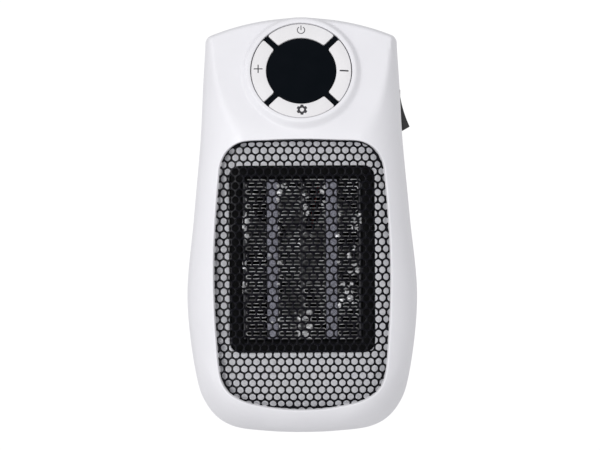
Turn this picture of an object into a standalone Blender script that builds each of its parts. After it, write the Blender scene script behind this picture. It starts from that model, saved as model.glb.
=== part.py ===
"""A plug-in ceramic fan heater, modelled as its separate pieces.

World frame: metres, +Z up, the grille faces -Y, and +X is to the right seen from the front. The origin is
the centre of the plug's flat rear face, which meets the wall socket. Dimensions are for the object at rest:
plug upright, rocker switch off, buttons out.
"""

import math

import bmesh
import bpy
import numpy as np
from mathutils import Vector

MM = 0.001
TURN = 2 * math.pi
NAME = "ceramic_space_heater"

# Walls and clearances
WALL = 2.2 * MM
GAP = 0.3 * MM

# Case
BODY_BOTTOM = -140.0 * MM
BODY_TOP = 50.0 * MM
TOP_RADIUS = 111.5 * MM
CORNER_RADIUS = 4.0 * MM
SHOULDER_HALF_WIDTH = 43.9 * MM
# Half width and height above the bottom, from under the shoulder round to the bottom centre
SIDE_KEYS = [
    (45.1 * MM, 158.0 * MM),
    (46.2 * MM, 136.0 * MM),
    (49.5 * MM, 99.0 * MM),
    (52.7 * MM, 61.0 * MM),
    (48.7 * MM, 26.0 * MM),
    (45.5 * MM, 15.5 * MM),
    (39.5 * MM, 7.3 * MM),
    (31.6 * MM, 2.8 * MM),
    (16.0 * MM, 0.6 * MM),
    (0.0, 0.0),
]
BELLY_TOP = BODY_BOTTOM + 16.0 * MM
FRONT_Y = -95.0 * MM
RIM_Y = -67.0 * MM
PARTING_Y = -55.0 * MM
REAR_EDGE_Y = -29.0 * MM
BACK_Y = -17.0 * MM
FLANK_WIDTH = 20.0 * MM
BELLY_WIDTH = 18.0 * MM
REAR_ROUNDING = 12.0 * MM
EDGE_FILLET = 1.5 * MM
CREASE_BLEND = 2.0 * MM

# Upper face, which leans back, and the dial on it
LEAN = math.radians(20)
LEAN_START_Z = -1.0 * MM
DIAL_Z = 24.7 * MM
DIAL_Y = FRONT_Y + math.tan(LEAN) * (DIAL_Z - LEAN_START_Z)
COLLAR_BASE_RADIUS = 27.0 * MM
COLLAR_TOP_RADIUS = 25.7 * MM
COLLAR_RISE = 3.2 * MM
WELL_RADIUS = 23.5 * MM
DIAL_RADIUS = 23.1 * MM
LENS_RADIUS = 15.8 * MM
ARM_HALF_WIDTH = 1.1 * MM
BUTTON_TOP = 2.6 * MM
BUTTON_THICKNESS = 2.4 * MM
BUTTON_ORBIT = 19.7 * MM
STEM_LENGTH = 2.6 * MM
CARRIER_TOP = -0.6 * MM
BOARD_TOP = -6.6 * MM
BOARD_THICKNESS = 1.6 * MM

# Grille window: half width and height above the bottom, from its top centre round to its bottom centre
WINDOW_KEYS = [
    (0.0, 134.3 * MM),
    (15.0 * MM, 133.9 * MM),
    (28.0 * MM, 132.9 * MM),
    (34.0 * MM, 129.4 * MM),
    (37.5 * MM, 123.5 * MM),
    (38.6 * MM, 115.7 * MM),
    (40.4 * MM, 92.0 * MM),
    (40.9 * MM, 72.0 * MM),
    (39.9 * MM, 44.0 * MM),
    (37.9 * MM, 25.0 * MM),
    (35.1 * MM, 19.3 * MM),
    (28.5 * MM, 14.7 * MM),
    (15.0 * MM, 11.3 * MM),
    (0.0, 10.1 * MM),
]
WINDOW_CENTRE_Z = BODY_BOTTOM + 72.0 * MM
GRILLE_RECESS = 0.9 * MM
GRILLE_THICKNESS = 0.6 * MM
GRILLE_PITCH = 14.9 * MM
GRILLE_HOLE = 12.0 * MM

# Heater, fan and motor, on one axis
HEATER_Z = -60.6 * MM
FRAME_FRONT_Y = -85.6 * MM
FRAME_BACK_Y = -68.0 * MM
FRAME_SIZE = (66.0 * MM, 85.0 * MM)
FRAME_TOP_Z = HEATER_Z + FRAME_SIZE[1] / 2
CORE_SIZE = (54.2 * MM, 74.0 * MM)
TERMINAL_Y = -73.0 * MM
TERMINAL_LENGTH = 7.0 * MM
FIN_WALLS = 23
FIN_GAUGE = 0.35 * MM
BAR_WIDTH = 5.0 * MM
BAR_X = 13.5 * MM
STRIP_WIDTH = 0.7 * MM
PLATE_WIDTH = 0.8 * MM
DUCT_RADIUS = 35.0 * MM
DUCT_WALL = 1.6 * MM
SHROUD_RADIUS = 34.6 * MM
BLADES = 7
BLADE_TIP = 33.0 * MM
HUB_RADIUS = 11.0 * MM
SHAFT_RADIUS = 1.0 * MM
MOTOR_RADIUS = 12.2 * MM

# Plug
PLUG_RADIUS = 19.0 * MM
FLANGE_RADIUS = 22.4 * MM
PIN_RADIUS = 2.4 * MM
PIN_SPACING = 19.0 * MM
PIN_LENGTH = 19.0 * MM

# Rocker switch, in the right flank
SWITCH_Y = -44.5 * MM
SWITCH_Z = 6.2 * MM
SWITCH_X = 44.4 * MM
ROCKER_REST = math.radians(17)

# Case screws: (x, z)
SCREW_PLACES = {
    "upper_left": (-33.0 * MM, 33.0 * MM),
    "upper_right": (33.0 * MM, 33.0 * MM),
    "lower_left": (-30.0 * MM, -118.0 * MM),
    "lower_right": (30.0 * MM, -118.0 * MM),
}

# Colour, roughness, metallic
FINISHES = {
    "case_white": ((0.83, 0.83, 0.86), 0.35, 0.0),
    "button_white": ((0.82, 0.81, 0.83), 0.4, 0.0),
    "grille_black": ((0.02, 0.02, 0.022), 0.45, 0.6),
    "gloss_black": ((0.004, 0.005, 0.007), 0.08, 0.0),
    "plastic_black": ((0.03, 0.03, 0.03), 0.5, 0.0),
    "plastic_grey": ((0.25, 0.25, 0.26), 0.5, 0.0),
    "plastic_ivory": ((0.75, 0.72, 0.65), 0.5, 0.0),
    "ceramic_grey": ((0.3, 0.3, 0.36), 0.7, 0.0),
    "aluminium": ((0.8, 0.8, 0.82), 0.3, 1.0),
    "steel": ((0.55, 0.55, 0.57), 0.3, 1.0),
    "nickel": ((0.7, 0.68, 0.64), 0.25, 1.0),
    "brass": ((0.75, 0.55, 0.25), 0.3, 1.0),
    "board_green": ((0.02, 0.15, 0.06), 0.5, 0.0),
    "lead_red": ((0.5, 0.03, 0.02), 0.5, 0.0),
}


# ---------------------------------------------------------------- scene and objects

for old in list(bpy.data.objects):
    bpy.data.objects.remove(old, do_unlink=True)

parts = bpy.data.collections.new(NAME)
cutters = bpy.data.collections.new("cutters")
bpy.context.scene.collection.children.link(parts)
bpy.context.scene.collection.children.link(cutters)


def finish_material(finish):
    """The Principled material of a finish, made once."""
    if finish in bpy.data.materials:
        return bpy.data.materials[finish]
    colour, roughness, metallic = FINISHES[finish]
    material = bpy.data.materials.new(finish)
    material.use_nodes = True
    shader = material.node_tree.nodes["Principled BSDF"]
    shader.inputs["Base Color"].default_value = (*colour, 1.0)
    shader.inputs["Roughness"].default_value = roughness
    shader.inputs["Metallic"].default_value = metallic
    return material


def add(name, data, finish, parent=None, location=(0, 0, 0), rotation=(0, 0, 0)):
    """Puts mesh or curve data in the scene. A piece without a finish is a helper."""
    piece = bpy.data.objects.new(name, data)
    piece.location = location
    piece.rotation_euler = rotation
    piece.parent = parent
    if finish is None:
        cutters.objects.link(piece)
        piece.hide_render = True
        piece.display_type = "WIRE"
    else:
        parts.objects.link(piece)
        data.materials.append(finish_material(finish))
    return piece


def axis_empty(name, location, rotation=(0, 0, 0)):
    """An empty on a joint's axis, which carries the pieces that move about it."""
    empty = bpy.data.objects.new(name, None)
    empty.empty_display_size = 0.01
    empty.location = location
    empty.rotation_euler = rotation
    parts.objects.link(empty)
    return empty


def mesh_from(bm, name):
    mesh = bpy.data.meshes.new(name)
    bm.to_mesh(mesh)
    bm.free()
    mesh.shade_smooth()
    mesh.set_sharp_from_angle(angle=math.radians(35))
    return mesh


def box(name, size, centre, finish=None, parent=None, bevel=0.0):
    bm = bmesh.new()
    bmesh.ops.create_cube(bm, size=1.0)
    bmesh.ops.scale(bm, vec=size, verts=bm.verts)
    piece = add(name, mesh_from(bm, name), finish, parent, centre)
    if bevel:
        rounding = piece.modifiers.new("rounding", "BEVEL")
        rounding.width = bevel
        rounding.segments = 2
    return piece


def cylinder(name, radius, ends, centre, axis, finish=None, parent=None, sides=24):
    """A cylinder along X, Y or Z, between the two ends measured along that axis."""
    bm = bmesh.new()
    low, high = ends
    bmesh.ops.create_cone(
        bm, cap_ends=True, segments=sides, radius1=radius, radius2=radius, depth=high - low
    )
    turns = {"X": (0, math.pi / 2, 0), "Y": (-math.pi / 2, 0, 0), "Z": (0, 0, 0)}
    along = {"X": (1, 0, 0), "Y": (0, 1, 0), "Z": (0, 0, 1)}
    middle = Vector(centre) + Vector(along[axis]) * (low + high) / 2
    return add(name, mesh_from(bm, name), finish, parent, middle, turns[axis])


def turned(name, profile, finish=None, parent=None, location=(0, 0, 0), closed=False, steps=20):
    """A profile of (radius, height) turned about the parent's Z, or about world Y where it has no parent."""
    bm = bmesh.new()
    points = [bm.verts.new((radius, 0, height)) for radius, height in profile]
    for start, end in zip(points, points[1:] + points[:1] if closed else points[1:]):
        bm.edges.new((start, end))
    rotation = (0, 0, 0) if parent else (-math.pi / 2, 0, 0)
    piece = add(name, mesh_from(bm, name), finish, parent, location, rotation)
    turning = piece.modifiers.new("turning", "SCREW")
    turning.steps = steps
    turning.render_steps = steps
    turning.use_merge_vertices = True
    turning.merge_threshold = 0.00001
    return piece


def plate(name, outlines, thickness, finish=None, parent=None, location=(0, 0, 0), upright=True):
    """A flat piece from closed outlines; an outline inside another is a hole.

    An upright plate has its outlines in X and Z and its thickness along Y.
    """
    curve = bpy.data.curves.new(name, "CURVE")
    curve.dimensions = "2D"
    curve.fill_mode = "BOTH"
    curve.extrude = thickness / 2
    for outline in outlines:
        spline = curve.splines.new("POLY")
        spline.points.add(len(outline) - 1)
        spline.use_cyclic_u = True
        for point, (across, up) in zip(spline.points, outline):
            point.co = (across, up, 0, 1)
    rotation = (math.pi / 2, 0, 0) if upright else (0, 0, 0)
    return add(name, curve, finish, parent, location, rotation)


def as_mesh(piece):
    """The same piece as a mesh object, so that it can be cut and joined."""
    bpy.context.view_layer.update()
    evaluated = piece.evaluated_get(bpy.context.evaluated_depsgraph_get())
    mesh = bpy.data.meshes.new_from_object(evaluated)
    bm = bmesh.new()
    bm.from_mesh(mesh)
    bmesh.ops.remove_doubles(bm, verts=bm.verts, dist=0.000001)
    bmesh.ops.recalc_face_normals(bm, faces=bm.faces)
    bm.to_mesh(mesh)
    bm.free()
    name = piece.name
    helper = piece.name in cutters.objects
    parent = piece.parent
    place = (piece.location.copy(), piece.rotation_euler.copy())
    mesh.materials.clear()
    finish = None if helper else piece.data.materials[0].name
    bpy.data.objects.remove(piece, do_unlink=True)
    return add(name, mesh, finish, parent, *place)


def tube(name, route, radius, finish):
    """A round lead along a smooth route."""
    points = smooth_through(route, 3)
    curve = bpy.data.curves.new(name, "CURVE")
    curve.dimensions = "3D"
    curve.bevel_depth = radius
    curve.bevel_resolution = 2
    curve.use_fill_caps = True
    spline = curve.splines.new("POLY")
    spline.points.add(len(points) - 1)
    for point, place in zip(spline.points, points):
        point.co = (*place, 1)
    return add(name, curve, finish)


def combine(target, operation, *helpers):
    """Cuts helpers from the target, or joins them to it."""
    for helper in helpers:
        boolean = target.modifiers.new(helper.name, "BOOLEAN")
        boolean.operation = operation
        boolean.object = helper
        boolean.solver = "EXACT"


def cut(target, *helpers):
    combine(target, "DIFFERENCE", *helpers)


def join(target, *helpers):
    combine(target, "UNION", *helpers)


# ---------------------------------------------------------------- outlines


def smooth_through(keys, steps, before=None, after=None):
    """Points on a centripetal Catmull-Rom curve through the keys, with steps to each span.

    before and after are the keys that the curve would go on to past its ends.
    """
    keys = [np.array(key, float) for key in keys]
    before = 2 * keys[0] - keys[1] if before is None else np.array(before, float)
    after = 2 * keys[-1] - keys[-2] if after is None else np.array(after, float)
    chain = [before, *keys, after]
    points = []
    for p0, p1, p2, p3 in zip(chain, chain[1:], chain[2:], chain[3:]):
        knots = np.cumsum([0.0] + [math.sqrt(np.linalg.norm(b - a)) for a, b in ((p0, p1), (p1, p2), (p2, p3))])
        for t in np.linspace(knots[1], knots[2], steps, endpoint=False):
            a1 = p0 + (p1 - p0) * (t - knots[0]) / (knots[1] - knots[0])
            a2 = p1 + (p2 - p1) * (t - knots[1]) / (knots[2] - knots[1])
            a3 = p2 + (p3 - p2) * (t - knots[2]) / (knots[3] - knots[2])
            b1 = a1 + (a2 - a1) * (t - knots[0]) / (knots[2] - knots[0])
            b2 = a2 + (a3 - a2) * (t - knots[1]) / (knots[3] - knots[1])
            points.append(b1 + (b2 - b1) * (t - knots[1]) / (knots[2] - knots[1]))
    points.append(keys[-1])
    return [tuple(float(value) for value in point) for point in points]


def arc(centre, radius, start, end, steps):
    """Points along an arc, angles in radians from +X towards +Z."""
    angles = np.linspace(start, end, steps + 1)
    return [(centre[0] + radius * math.cos(a), centre[1] + radius * math.sin(a)) for a in angles]


def mirrored(half):
    """A closed outline from its right half, which runs from the top centre to the bottom centre."""
    return half + [(-x, z) for x, z in reversed(half[1:-1])]


def raised(keys):
    return [(x, BODY_BOTTOM + height) for x, height in keys]


def body_half_outline():
    """The case's right half: the arched top, its corner, and the side down to the bottom centre."""
    arch_centre = BODY_TOP - TOP_RADIUS
    corner_x = SHOULDER_HALF_WIDTH - CORNER_RADIUS
    corner_z = arch_centre + math.sqrt((TOP_RADIUS - CORNER_RADIUS) ** 2 - corner_x**2)
    tangent = math.atan2(corner_z - arch_centre, corner_x)
    arch = arc((0, arch_centre), TOP_RADIUS, math.pi / 2, tangent, 5)
    corner = arc((corner_x, corner_z), CORNER_RADIUS, tangent, 0, 3)
    side = raised(SIDE_KEYS)
    shoulder = corner[-1]
    above = (shoulder[0], shoulder[1] + CORNER_RADIUS)
    below = (-side[-2][0], side[-2][1])
    return arch[:-1] + corner[:-1] + smooth_through([shoulder] + side, 3, above, below)


def window_half_outline():
    keys = raised(WINDOW_KEYS)
    return smooth_through(keys, 2, (-keys[1][0], keys[1][1]), (-keys[-2][0], keys[-2][1]))


def grown(outline, amount):
    """A closed clockwise outline moved outwards by an amount, or inwards by a negative one."""
    points = np.array(outline)
    along = np.roll(points, -1, axis=0) - np.roll(points, 1, axis=0)
    along /= np.linalg.norm(along, axis=1)[:, None]
    outwards = np.stack([-along[:, 1], along[:, 0]], axis=1)
    return [tuple(float(value) for value in point) for point in points + amount * outwards]


def rounded_rectangle(width, height, radius, centre=(0, 0), steps=3):
    points = []
    corners = [(1, 1, 90), (1, -1, 0), (-1, -1, -90), (-1, 1, -180)]
    for right, up, start in corners:
        middle = (centre[0] + right * (width / 2 - radius), centre[1] + up * (height / 2 - radius))
        points += arc(middle, radius, math.radians(start), math.radians(start - 90), steps)
    return points


def strip(route, gauge):
    """The outline of a strip of one gauge that follows a route with square corners."""
    points = [np.array(point, float) for point in route]
    sides = [[], []]
    for index, point in enumerate(points):
        ahead = points[min(index + 1, len(points) - 1)] - points[min(index, len(points) - 2)]
        behind = points[max(index, 1)] - points[max(index - 1, 0)]
        ahead /= np.linalg.norm(ahead)
        behind /= np.linalg.norm(behind)
        normal = np.array((-ahead[1] - behind[1], ahead[0] + behind[0]))
        normal /= np.linalg.norm(normal)
        reach = gauge / 2 / abs(float(np.dot(normal, (-ahead[1], ahead[0]))))
        sides[0].append(tuple(point + normal * reach))
        sides[1].append(tuple(point - normal * reach))
    return sides[0] + sides[1][::-1]


def on_ray(outline, centre, towards):
    """Where the ray from a centre towards a point leaves a closed outline."""
    origin = np.array(centre)
    direction = np.array(towards) - origin
    best = None
    for start, end in zip(outline, outline[1:] + outline[:1]):
        edge = np.array(end) - np.array(start)
        across = direction[0] * edge[1] - direction[1] * edge[0]
        if abs(across) < 1e-15:
            continue
        to_start = np.array(start) - origin
        reach = (to_start[0] * edge[1] - to_start[1] * edge[0]) / across
        share = (to_start[0] * direction[1] - to_start[1] * direction[0]) / across
        if reach > 0 and -1e-9 <= share <= 1 + 1e-9:
            best = reach if best is None else max(best, reach)
    return tuple(origin + direction * best)


BODY_HALF = body_half_outline()
BODY_OUTLINE = mirrored(BODY_HALF)
WINDOW_CENTRE = (0.0, WINDOW_CENTRE_Z)
WINDOW_OUTLINE = mirrored(window_half_outline())
SHOULDER_Z = max(z for x, z in BODY_HALF if x >= SHOULDER_HALF_WIDTH - 0.01 * MM)
FLANK_Z, FLANK_X = zip(*sorted((z, x) for x, z in BODY_HALF if z <= SHOULDER_Z))
BELLY_X, BELLY_Z = zip(*sorted((x, z) for x, z in BODY_HALF if z <= BELLY_TOP))


# ---------------------------------------------------------------- case surfaces


def half_width(z):
    return float(np.interp(z, FLANK_Z, FLANK_X))


def bottom_edge(x):
    return float(np.interp(abs(x), BELLY_X, BELLY_Z))


def top_edge(x):
    return BODY_TOP - TOP_RADIUS + math.sqrt(TOP_RADIUS**2 - x**2)


def rim_distance(x, z):
    """How far a point is from the case's outline."""
    starts = np.array(BODY_OUTLINE)
    edges = np.roll(starts, -1, axis=0) - starts
    offsets = np.array((x, z)) - starts
    share = np.clip((offsets * edges).sum(axis=1) / (edges**2).sum(axis=1), 0, 1)
    return float(np.linalg.norm(offsets - edges * share[:, None], axis=1).min())


def crown(depth, width):
    """A quarter ellipse: 0 at the rim, 1 from the width inwards."""
    share = min(max(depth / width, 0.0), 1.0)
    return math.sqrt(1 - (1 - share) ** 2)


def soft_min(first, second, blend):
    overlap = max(blend - abs(first - second), 0.0) / blend
    return min(first, second) - overlap**2 * blend / 4


def front_y(x, z):
    """The front skin: a pillow, cut by the upper face that leans back."""
    side = crown(half_width(z) - abs(x), FLANK_WIDTH)
    belly = crown(z - bottom_edge(x), BELLY_WIDTH)
    pillow = (RIM_Y - FRONT_Y) * side * belly
    leaning = RIM_Y - FRONT_Y - math.tan(LEAN) * (z - LEAN_START_Z)
    depth = soft_min(pillow, leaning, CREASE_BLEND)
    return RIM_Y - depth * crown(rim_distance(x, z), EDGE_FILLET)


def rear_y(x, z):
    """The rear skin: a flat back with rounded edges."""
    side = crown(half_width(z) - abs(x), REAR_ROUNDING)
    belly = crown(z - bottom_edge(x), REAR_ROUNDING)
    top = crown(top_edge(x) - z, REAR_ROUNDING)
    edge = crown(rim_distance(x, z), EDGE_FILLET)
    return REAR_EDGE_Y + (BACK_Y - REAR_EDGE_Y) * side * belly * top * edge


def skin(name, rings, closed, forwards):
    """An open shell skin through rings of points, made a wall of even thickness."""
    bm = bmesh.new()
    loops = [[bm.verts.new(point) for point in ring] for ring in rings]
    count = len(rings[0])
    for lower, upper in zip(loops, loops[1:]):
        for index in range(count):
            after = (index + 1) % count
            corners = (lower[index], lower[after], upper[after], upper[index])
            bm.faces.new(corners[::-1] if forwards else corners)
    if closed:
        bm.faces.new(loops[-1][::-1] if forwards else loops[-1])
    piece = add(name, mesh_from(bm, name), "case_white")
    wall = piece.modifiers.new("wall", "SOLIDIFY")
    wall.thickness = WALL
    wall.offset = -1
    wall.use_even_offset = True
    return piece


def blended(outer, inner, share):
    return [
        (a[0] + (b[0] - a[0]) * share, a[1] + (b[1] - a[1]) * share) for a, b in zip(outer, inner)
    ]


def screw_boss(side, ends, radius):
    x, z = SCREW_PLACES[side]
    return cylinder(f"boss_{side}_{ends[0]:.4f}", radius, ends, (x, 0, z), "Y", sides=12)


def add_front_boss(piece, side, start):
    """Joins a screw's boss to a piece, from its start back to the parting line, and bores it."""
    join(piece, screw_boss(side, (start, PARTING_Y - 2 * MM), 3.6 * MM))
    cut(piece, screw_boss(side, (PARTING_Y - 9 * MM, PARTING_Y), 1.7 * MM))


def make_front_shell():
    rings = [[(x, y, z) for x, z in BODY_OUTLINE] for y in (PARTING_Y - GAP, RIM_Y)]
    smaller = grown(WINDOW_OUTLINE, -2.5 * MM)
    past_window = [on_ray(smaller, WINDOW_CENTRE, point) for point in BODY_OUTLINE]
    steps = 7
    for step in range(1, steps + 1):
        flat = blended(BODY_OUTLINE, past_window, (step / steps) ** 2)
        rings.append([(x, front_y(x, z), z) for x, z in flat])
    shell = skin("front_shell", rings, closed=False, forwards=True)
    collar = turned(
        "collar",
        [
            (0, COLLAR_RISE),
            (COLLAR_TOP_RADIUS - 1.0 * MM, COLLAR_RISE),
            (COLLAR_TOP_RADIUS, COLLAR_RISE - 0.5 * MM),
            (COLLAR_BASE_RADIUS, 0),
            (COLLAR_BASE_RADIUS, -WALL),
            (0, -WALL),
        ],
        parent=dial_axis,
        steps=36,
    )
    join(shell, collar)
    depth = 12.0 * MM
    well = cylinder("dial_well", WELL_RADIUS, (-depth, depth), (0, 0, 0), "Z", parent=dial_axis, sides=36)
    window = plate("window", [WINDOW_OUTLINE], 20 * MM, location=(0, FRONT_Y, 0))
    cut(shell, well, as_mesh(window))
    for side in ("upper_left", "upper_right"):
        x, z = SCREW_PLACES[side]
        add_front_boss(shell, side, front_y(x, z) + WALL / 2)


def make_rear_shell():
    centre = [WINDOW_CENTRE] * len(BODY_OUTLINE)
    rings = [[(x, y, z) for x, z in BODY_OUTLINE] for y in (PARTING_Y, REAR_EDGE_Y)]
    steps = 5
    flat_share = 0.4
    for step in range(1, steps + 1):
        flat = blended(BODY_OUTLINE, centre, flat_share * (step / steps) ** 2)
        rings.append([(x, rear_y(x, z), z) for x, z in flat])
    shell = skin("rear_shell", rings, closed=True, forwards=False)
    through = (BACK_Y - 10 * MM, BACK_Y + 5 * MM)
    for side in SCREW_PLACES:
        join(shell, screw_boss(side, (PARTING_Y - 1 * MM, BACK_Y - 1.6 * MM), 4.2 * MM))
    for side in SCREW_PLACES:
        cut(shell, screw_boss(side, (-42 * MM, through[1]), 3.1 * MM))
        cut(shell, screw_boss(side, (PARTING_Y - 2 * MM, -41 * MM), 1.8 * MM))
    make_intake_slots(shell)
    cut(shell, cylinder("plug_hole", PLUG_RADIUS + 0.5 * MM, through, (0, 0, 0), "Y", sides=37))
    make_switch_opening(shell)


def make_intake_slots(shell):
    """Rows of intake slots, in two columns inside a circle behind the fan."""
    pitch = 5.4 * MM
    reach = 34.0 * MM
    rib = 2.0 * MM
    bm = bmesh.new()
    for row in range(-5, 6):
        offset = row * pitch
        length = math.sqrt(reach**2 - offset**2) - rib
        for side in (-1, 1):
            slot = bmesh.ops.create_cube(bm, size=1.0)["verts"]
            bmesh.ops.scale(bm, vec=(length, 8 * MM, 2.8 * MM), verts=slot)
            centre = (side * (rib + length / 2), BACK_Y, HEATER_Z + offset)
            bmesh.ops.translate(bm, vec=centre, verts=slot)
    cut(shell, add("intake_slots", mesh_from(bm, "intake_slots"), None))


def make_switch_opening(shell):
    wall_x = half_width(SWITCH_Z)
    cut(
        shell,
        box("switch_seat", (6 * MM, 15.4 * MM, 22.8 * MM), (wall_x + 1.5 * MM, SWITCH_Y, SWITCH_Z)),
        box("switch_opening", (12 * MM, 13.2 * MM, 20.4 * MM), (wall_x, SWITCH_Y, SWITCH_Z)),
    )


# ---------------------------------------------------------------- outlet


def make_grille():
    """The perforated sheet, which follows the front skin a little below it."""
    outline = [(x, z) for x, z in grown(WINDOW_OUTLINE, -0.4 * MM)]
    middle = FRONT_Y + GRILLE_RECESS + GRILLE_THICKNESS / 2
    sheet = as_mesh(plate("front_grille", [outline], GRILLE_THICKNESS, "grille_black", location=(0, middle, 0)))
    bm = bmesh.new()
    row_pitch = GRILLE_PITCH * math.sqrt(3) / 2
    edge = GRILLE_HOLE / math.sqrt(3)
    inner = grown(WINDOW_OUTLINE, -2.5 * MM)
    for row in range(-5, 6):
        for column in range(-4, 5):
            x = (column + (row % 2) / 2) * GRILLE_PITCH
            z = WINDOW_CENTRE_Z + row * row_pitch
            corners = arc((x, z), edge, math.radians(90), math.radians(450), 6)[:-1]
            if not all(inside(corner, inner) for corner in corners):
                continue
            face = bm.faces.new([bm.verts.new((a, FRONT_Y - 5 * MM, b)) for a, b in corners])
            deep = bmesh.ops.extrude_face_region(bm, geom=[face])["geom"]
            ends = [item for item in deep if isinstance(item, bmesh.types.BMVert)]
            bmesh.ops.translate(bm, vec=(0, 12 * MM, 0), verts=ends)
    bmesh.ops.recalc_face_normals(bm, faces=bm.faces)
    cut(sheet, add("perforations", mesh_from(bm, "perforations"), None))
    sheet = as_mesh(sheet)
    deepest = front_y(0, WINDOW_CENTRE_Z)
    for vertex in sheet.data.vertices:
        # The sheet's mesh is in the plate's own axes: X, Z, and -Y.
        vertex.co.z -= front_y(vertex.co.x, vertex.co.y) - deepest


def inside(point, outline):
    """Whether a point is inside a closed outline, by crossings."""
    x, z = point
    within = False
    for (x1, z1), (x2, z2) in zip(outline, outline[1:] + outline[:1]):
        if (z1 > z) != (z2 > z) and x < x1 + (z - z1) * (x2 - x1) / (z2 - z1):
            within = not within
    return within


def make_baffle():
    """The panel behind the grille, with a window for the heater and a low wall round its edge."""
    outer = grown(WINDOW_OUTLINE, 0.3 * MM)
    window = rounded_rectangle(
        FRAME_SIZE[0] + 2 * GAP, FRAME_SIZE[1] + 2 * GAP, 2.4 * MM, (0, HEATER_Z)
    )
    floor = 1.6 * MM
    height = 1.8 * MM
    panel = as_mesh(
        plate("outlet_baffle", [outer, window], floor, "case_white", location=(0, FRAME_FRONT_Y + floor / 2, 0))
    )
    wall = plate(
        "baffle_wall",
        [outer, grown(outer, -1.4 * MM)],
        height,
        location=(0, FRAME_FRONT_Y + 0.4 * MM - height / 2, 0),
    )
    join(panel, as_mesh(wall))
    for side in ("lower_left", "lower_right"):
        add_front_boss(panel, side, FRAME_FRONT_Y + floor / 2)


# ---------------------------------------------------------------- heater


def heater_plate(name, width, height, x, finish, thickness=None):
    depth = FRAME_BACK_Y - FRAME_FRONT_Y - 2 * MM if thickness is None else thickness
    middle = (FRAME_BACK_Y + FRAME_FRONT_Y) / 2
    return box(name, (width, depth, height), (x, middle, HEATER_Z), finish)


def make_heater():
    depth = FRAME_BACK_Y - FRAME_FRONT_Y
    middle = (FRAME_BACK_Y + FRAME_FRONT_Y) / 2
    plate(
        "heater_frame",
        [
            rounded_rectangle(*FRAME_SIZE, 2.3 * MM, (0, HEATER_Z)),
            rounded_rectangle(*CORE_SIZE, 0.5 * MM, (0, HEATER_Z), 1),
        ],
        depth,
        "plastic_black",
        location=(0, middle, 0),
    )
    core_height = CORE_SIZE[1] - 1 * MM
    heater_plate("centre_strip", STRIP_WIDTH, core_height, 0, "aluminium")
    bar_inner = BAR_X - BAR_WIDTH / 2 - GAP
    bar_outer = BAR_X + BAR_WIDTH / 2 + GAP
    plate_x = CORE_SIZE[0] / 2 - GAP - PLATE_WIDTH / 2
    columns = {
        "inner": (STRIP_WIDTH / 2 + GAP, bar_inner),
        "outer": (bar_outer, plate_x - PLATE_WIDTH / 2 - GAP),
    }
    for side, sign in (("left", -1), ("right", 1)):
        heater_plate(f"heating_bar_{side}", BAR_WIDTH, core_height, sign * BAR_X, "ceramic_grey")
        heater_plate(f"side_plate_{side}", PLATE_WIDTH, core_height, sign * plate_x, "aluminium")
        for column, (near, far) in columns.items():
            make_fins(f"fin_pack_{column}_{side}", sign * near, sign * far, core_height)
        tab = (sign * BAR_X, TERMINAL_Y, FRAME_TOP_Z + GAP + TERMINAL_LENGTH / 2)
        box(f"heater_terminal_{side}", (4 * MM, 0.8 * MM, TERMINAL_LENGTH), tab, "brass")


def make_fins(name, near, far, height):
    """A folded strip: level walls joined by turns at alternate ends."""
    turn = FIN_GAUGE / 2 * (1 if far > near else -1)
    ends = (near + turn, far - turn)
    pitch = (height - FIN_GAUGE) / (FIN_WALLS - 1)
    bottom = HEATER_Z - height / 2 + FIN_GAUGE / 2
    route = []
    for wall in range(FIN_WALLS):
        z = bottom + wall * pitch
        first, last = ends if wall % 2 == 0 else ends[::-1]
        route += [(first, z), (last, z)]
    depth = FRAME_BACK_Y - FRAME_FRONT_Y - 2 * MM
    middle = (FRAME_BACK_Y + FRAME_FRONT_Y) / 2
    plate(name, [strip(route, FIN_GAUGE)], depth, "aluminium", location=(0, middle, 0))


# ---------------------------------------------------------------- air path, fan and motor


def make_air_duct():
    """A loft from the round fan frame to the rectangular heater frame, open at both ends."""
    back = FRAME_BACK_Y + 2 * GAP
    round_y = -52.0 * MM
    corner = 3 * MM
    inner_size = (CORE_SIZE[0] + 1 * MM, CORE_SIZE[1] + 1 * MM)
    inner = rounded_rectangle(*inner_size, corner, steps=2)
    inner = [point for point in with_edge_points(inner, 4)]
    angles = [math.atan2(z, x) for x, z in inner]
    outer = [(x + math.copysign(DUCT_WALL, x), z + math.copysign(DUCT_WALL, z)) for x, z in inner]
    sections = [
        [(x, back, z) for x, z in inner],
        [(DUCT_RADIUS * math.cos(a), round_y, DUCT_RADIUS * math.sin(a)) for a in angles],
        [((DUCT_RADIUS + DUCT_WALL) * math.cos(a), round_y, (DUCT_RADIUS + DUCT_WALL) * math.sin(a)) for a in angles],
        [(x, back, z) for x, z in outer],
    ]
    bm = bmesh.new()
    loops = [[bm.verts.new(point) for point in section] for section in sections]
    for lower, upper in zip(loops, loops[1:] + loops[:1]):
        for index in range(len(inner)):
            after = (index + 1) % len(inner)
            bm.faces.new((lower[index], lower[after], upper[after], upper[index]))
    bmesh.ops.recalc_face_normals(bm, faces=bm.faces)
    add("air_duct", mesh_from(bm, "air_duct"), "plastic_black", location=(0, 0, HEATER_Z))


def with_edge_points(outline, count):
    """The outline with each of its long edges divided into a count of equal parts."""
    longest = 10 * MM
    points = []
    for start, end in zip(outline, outline[1:] + outline[:1]):
        edge = (end[0] - start[0], end[1] - start[1])
        pieces = count if math.hypot(*edge) > longest else 1
        points += [(start[0] + edge[0] * k / pieces, start[1] + edge[1] * k / pieces) for k in range(pieces)]
    return points


def ring_profile(inner, outer, low, high):
    return [(outer, high), (outer, low), (inner, low), (inner, high)]


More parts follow.
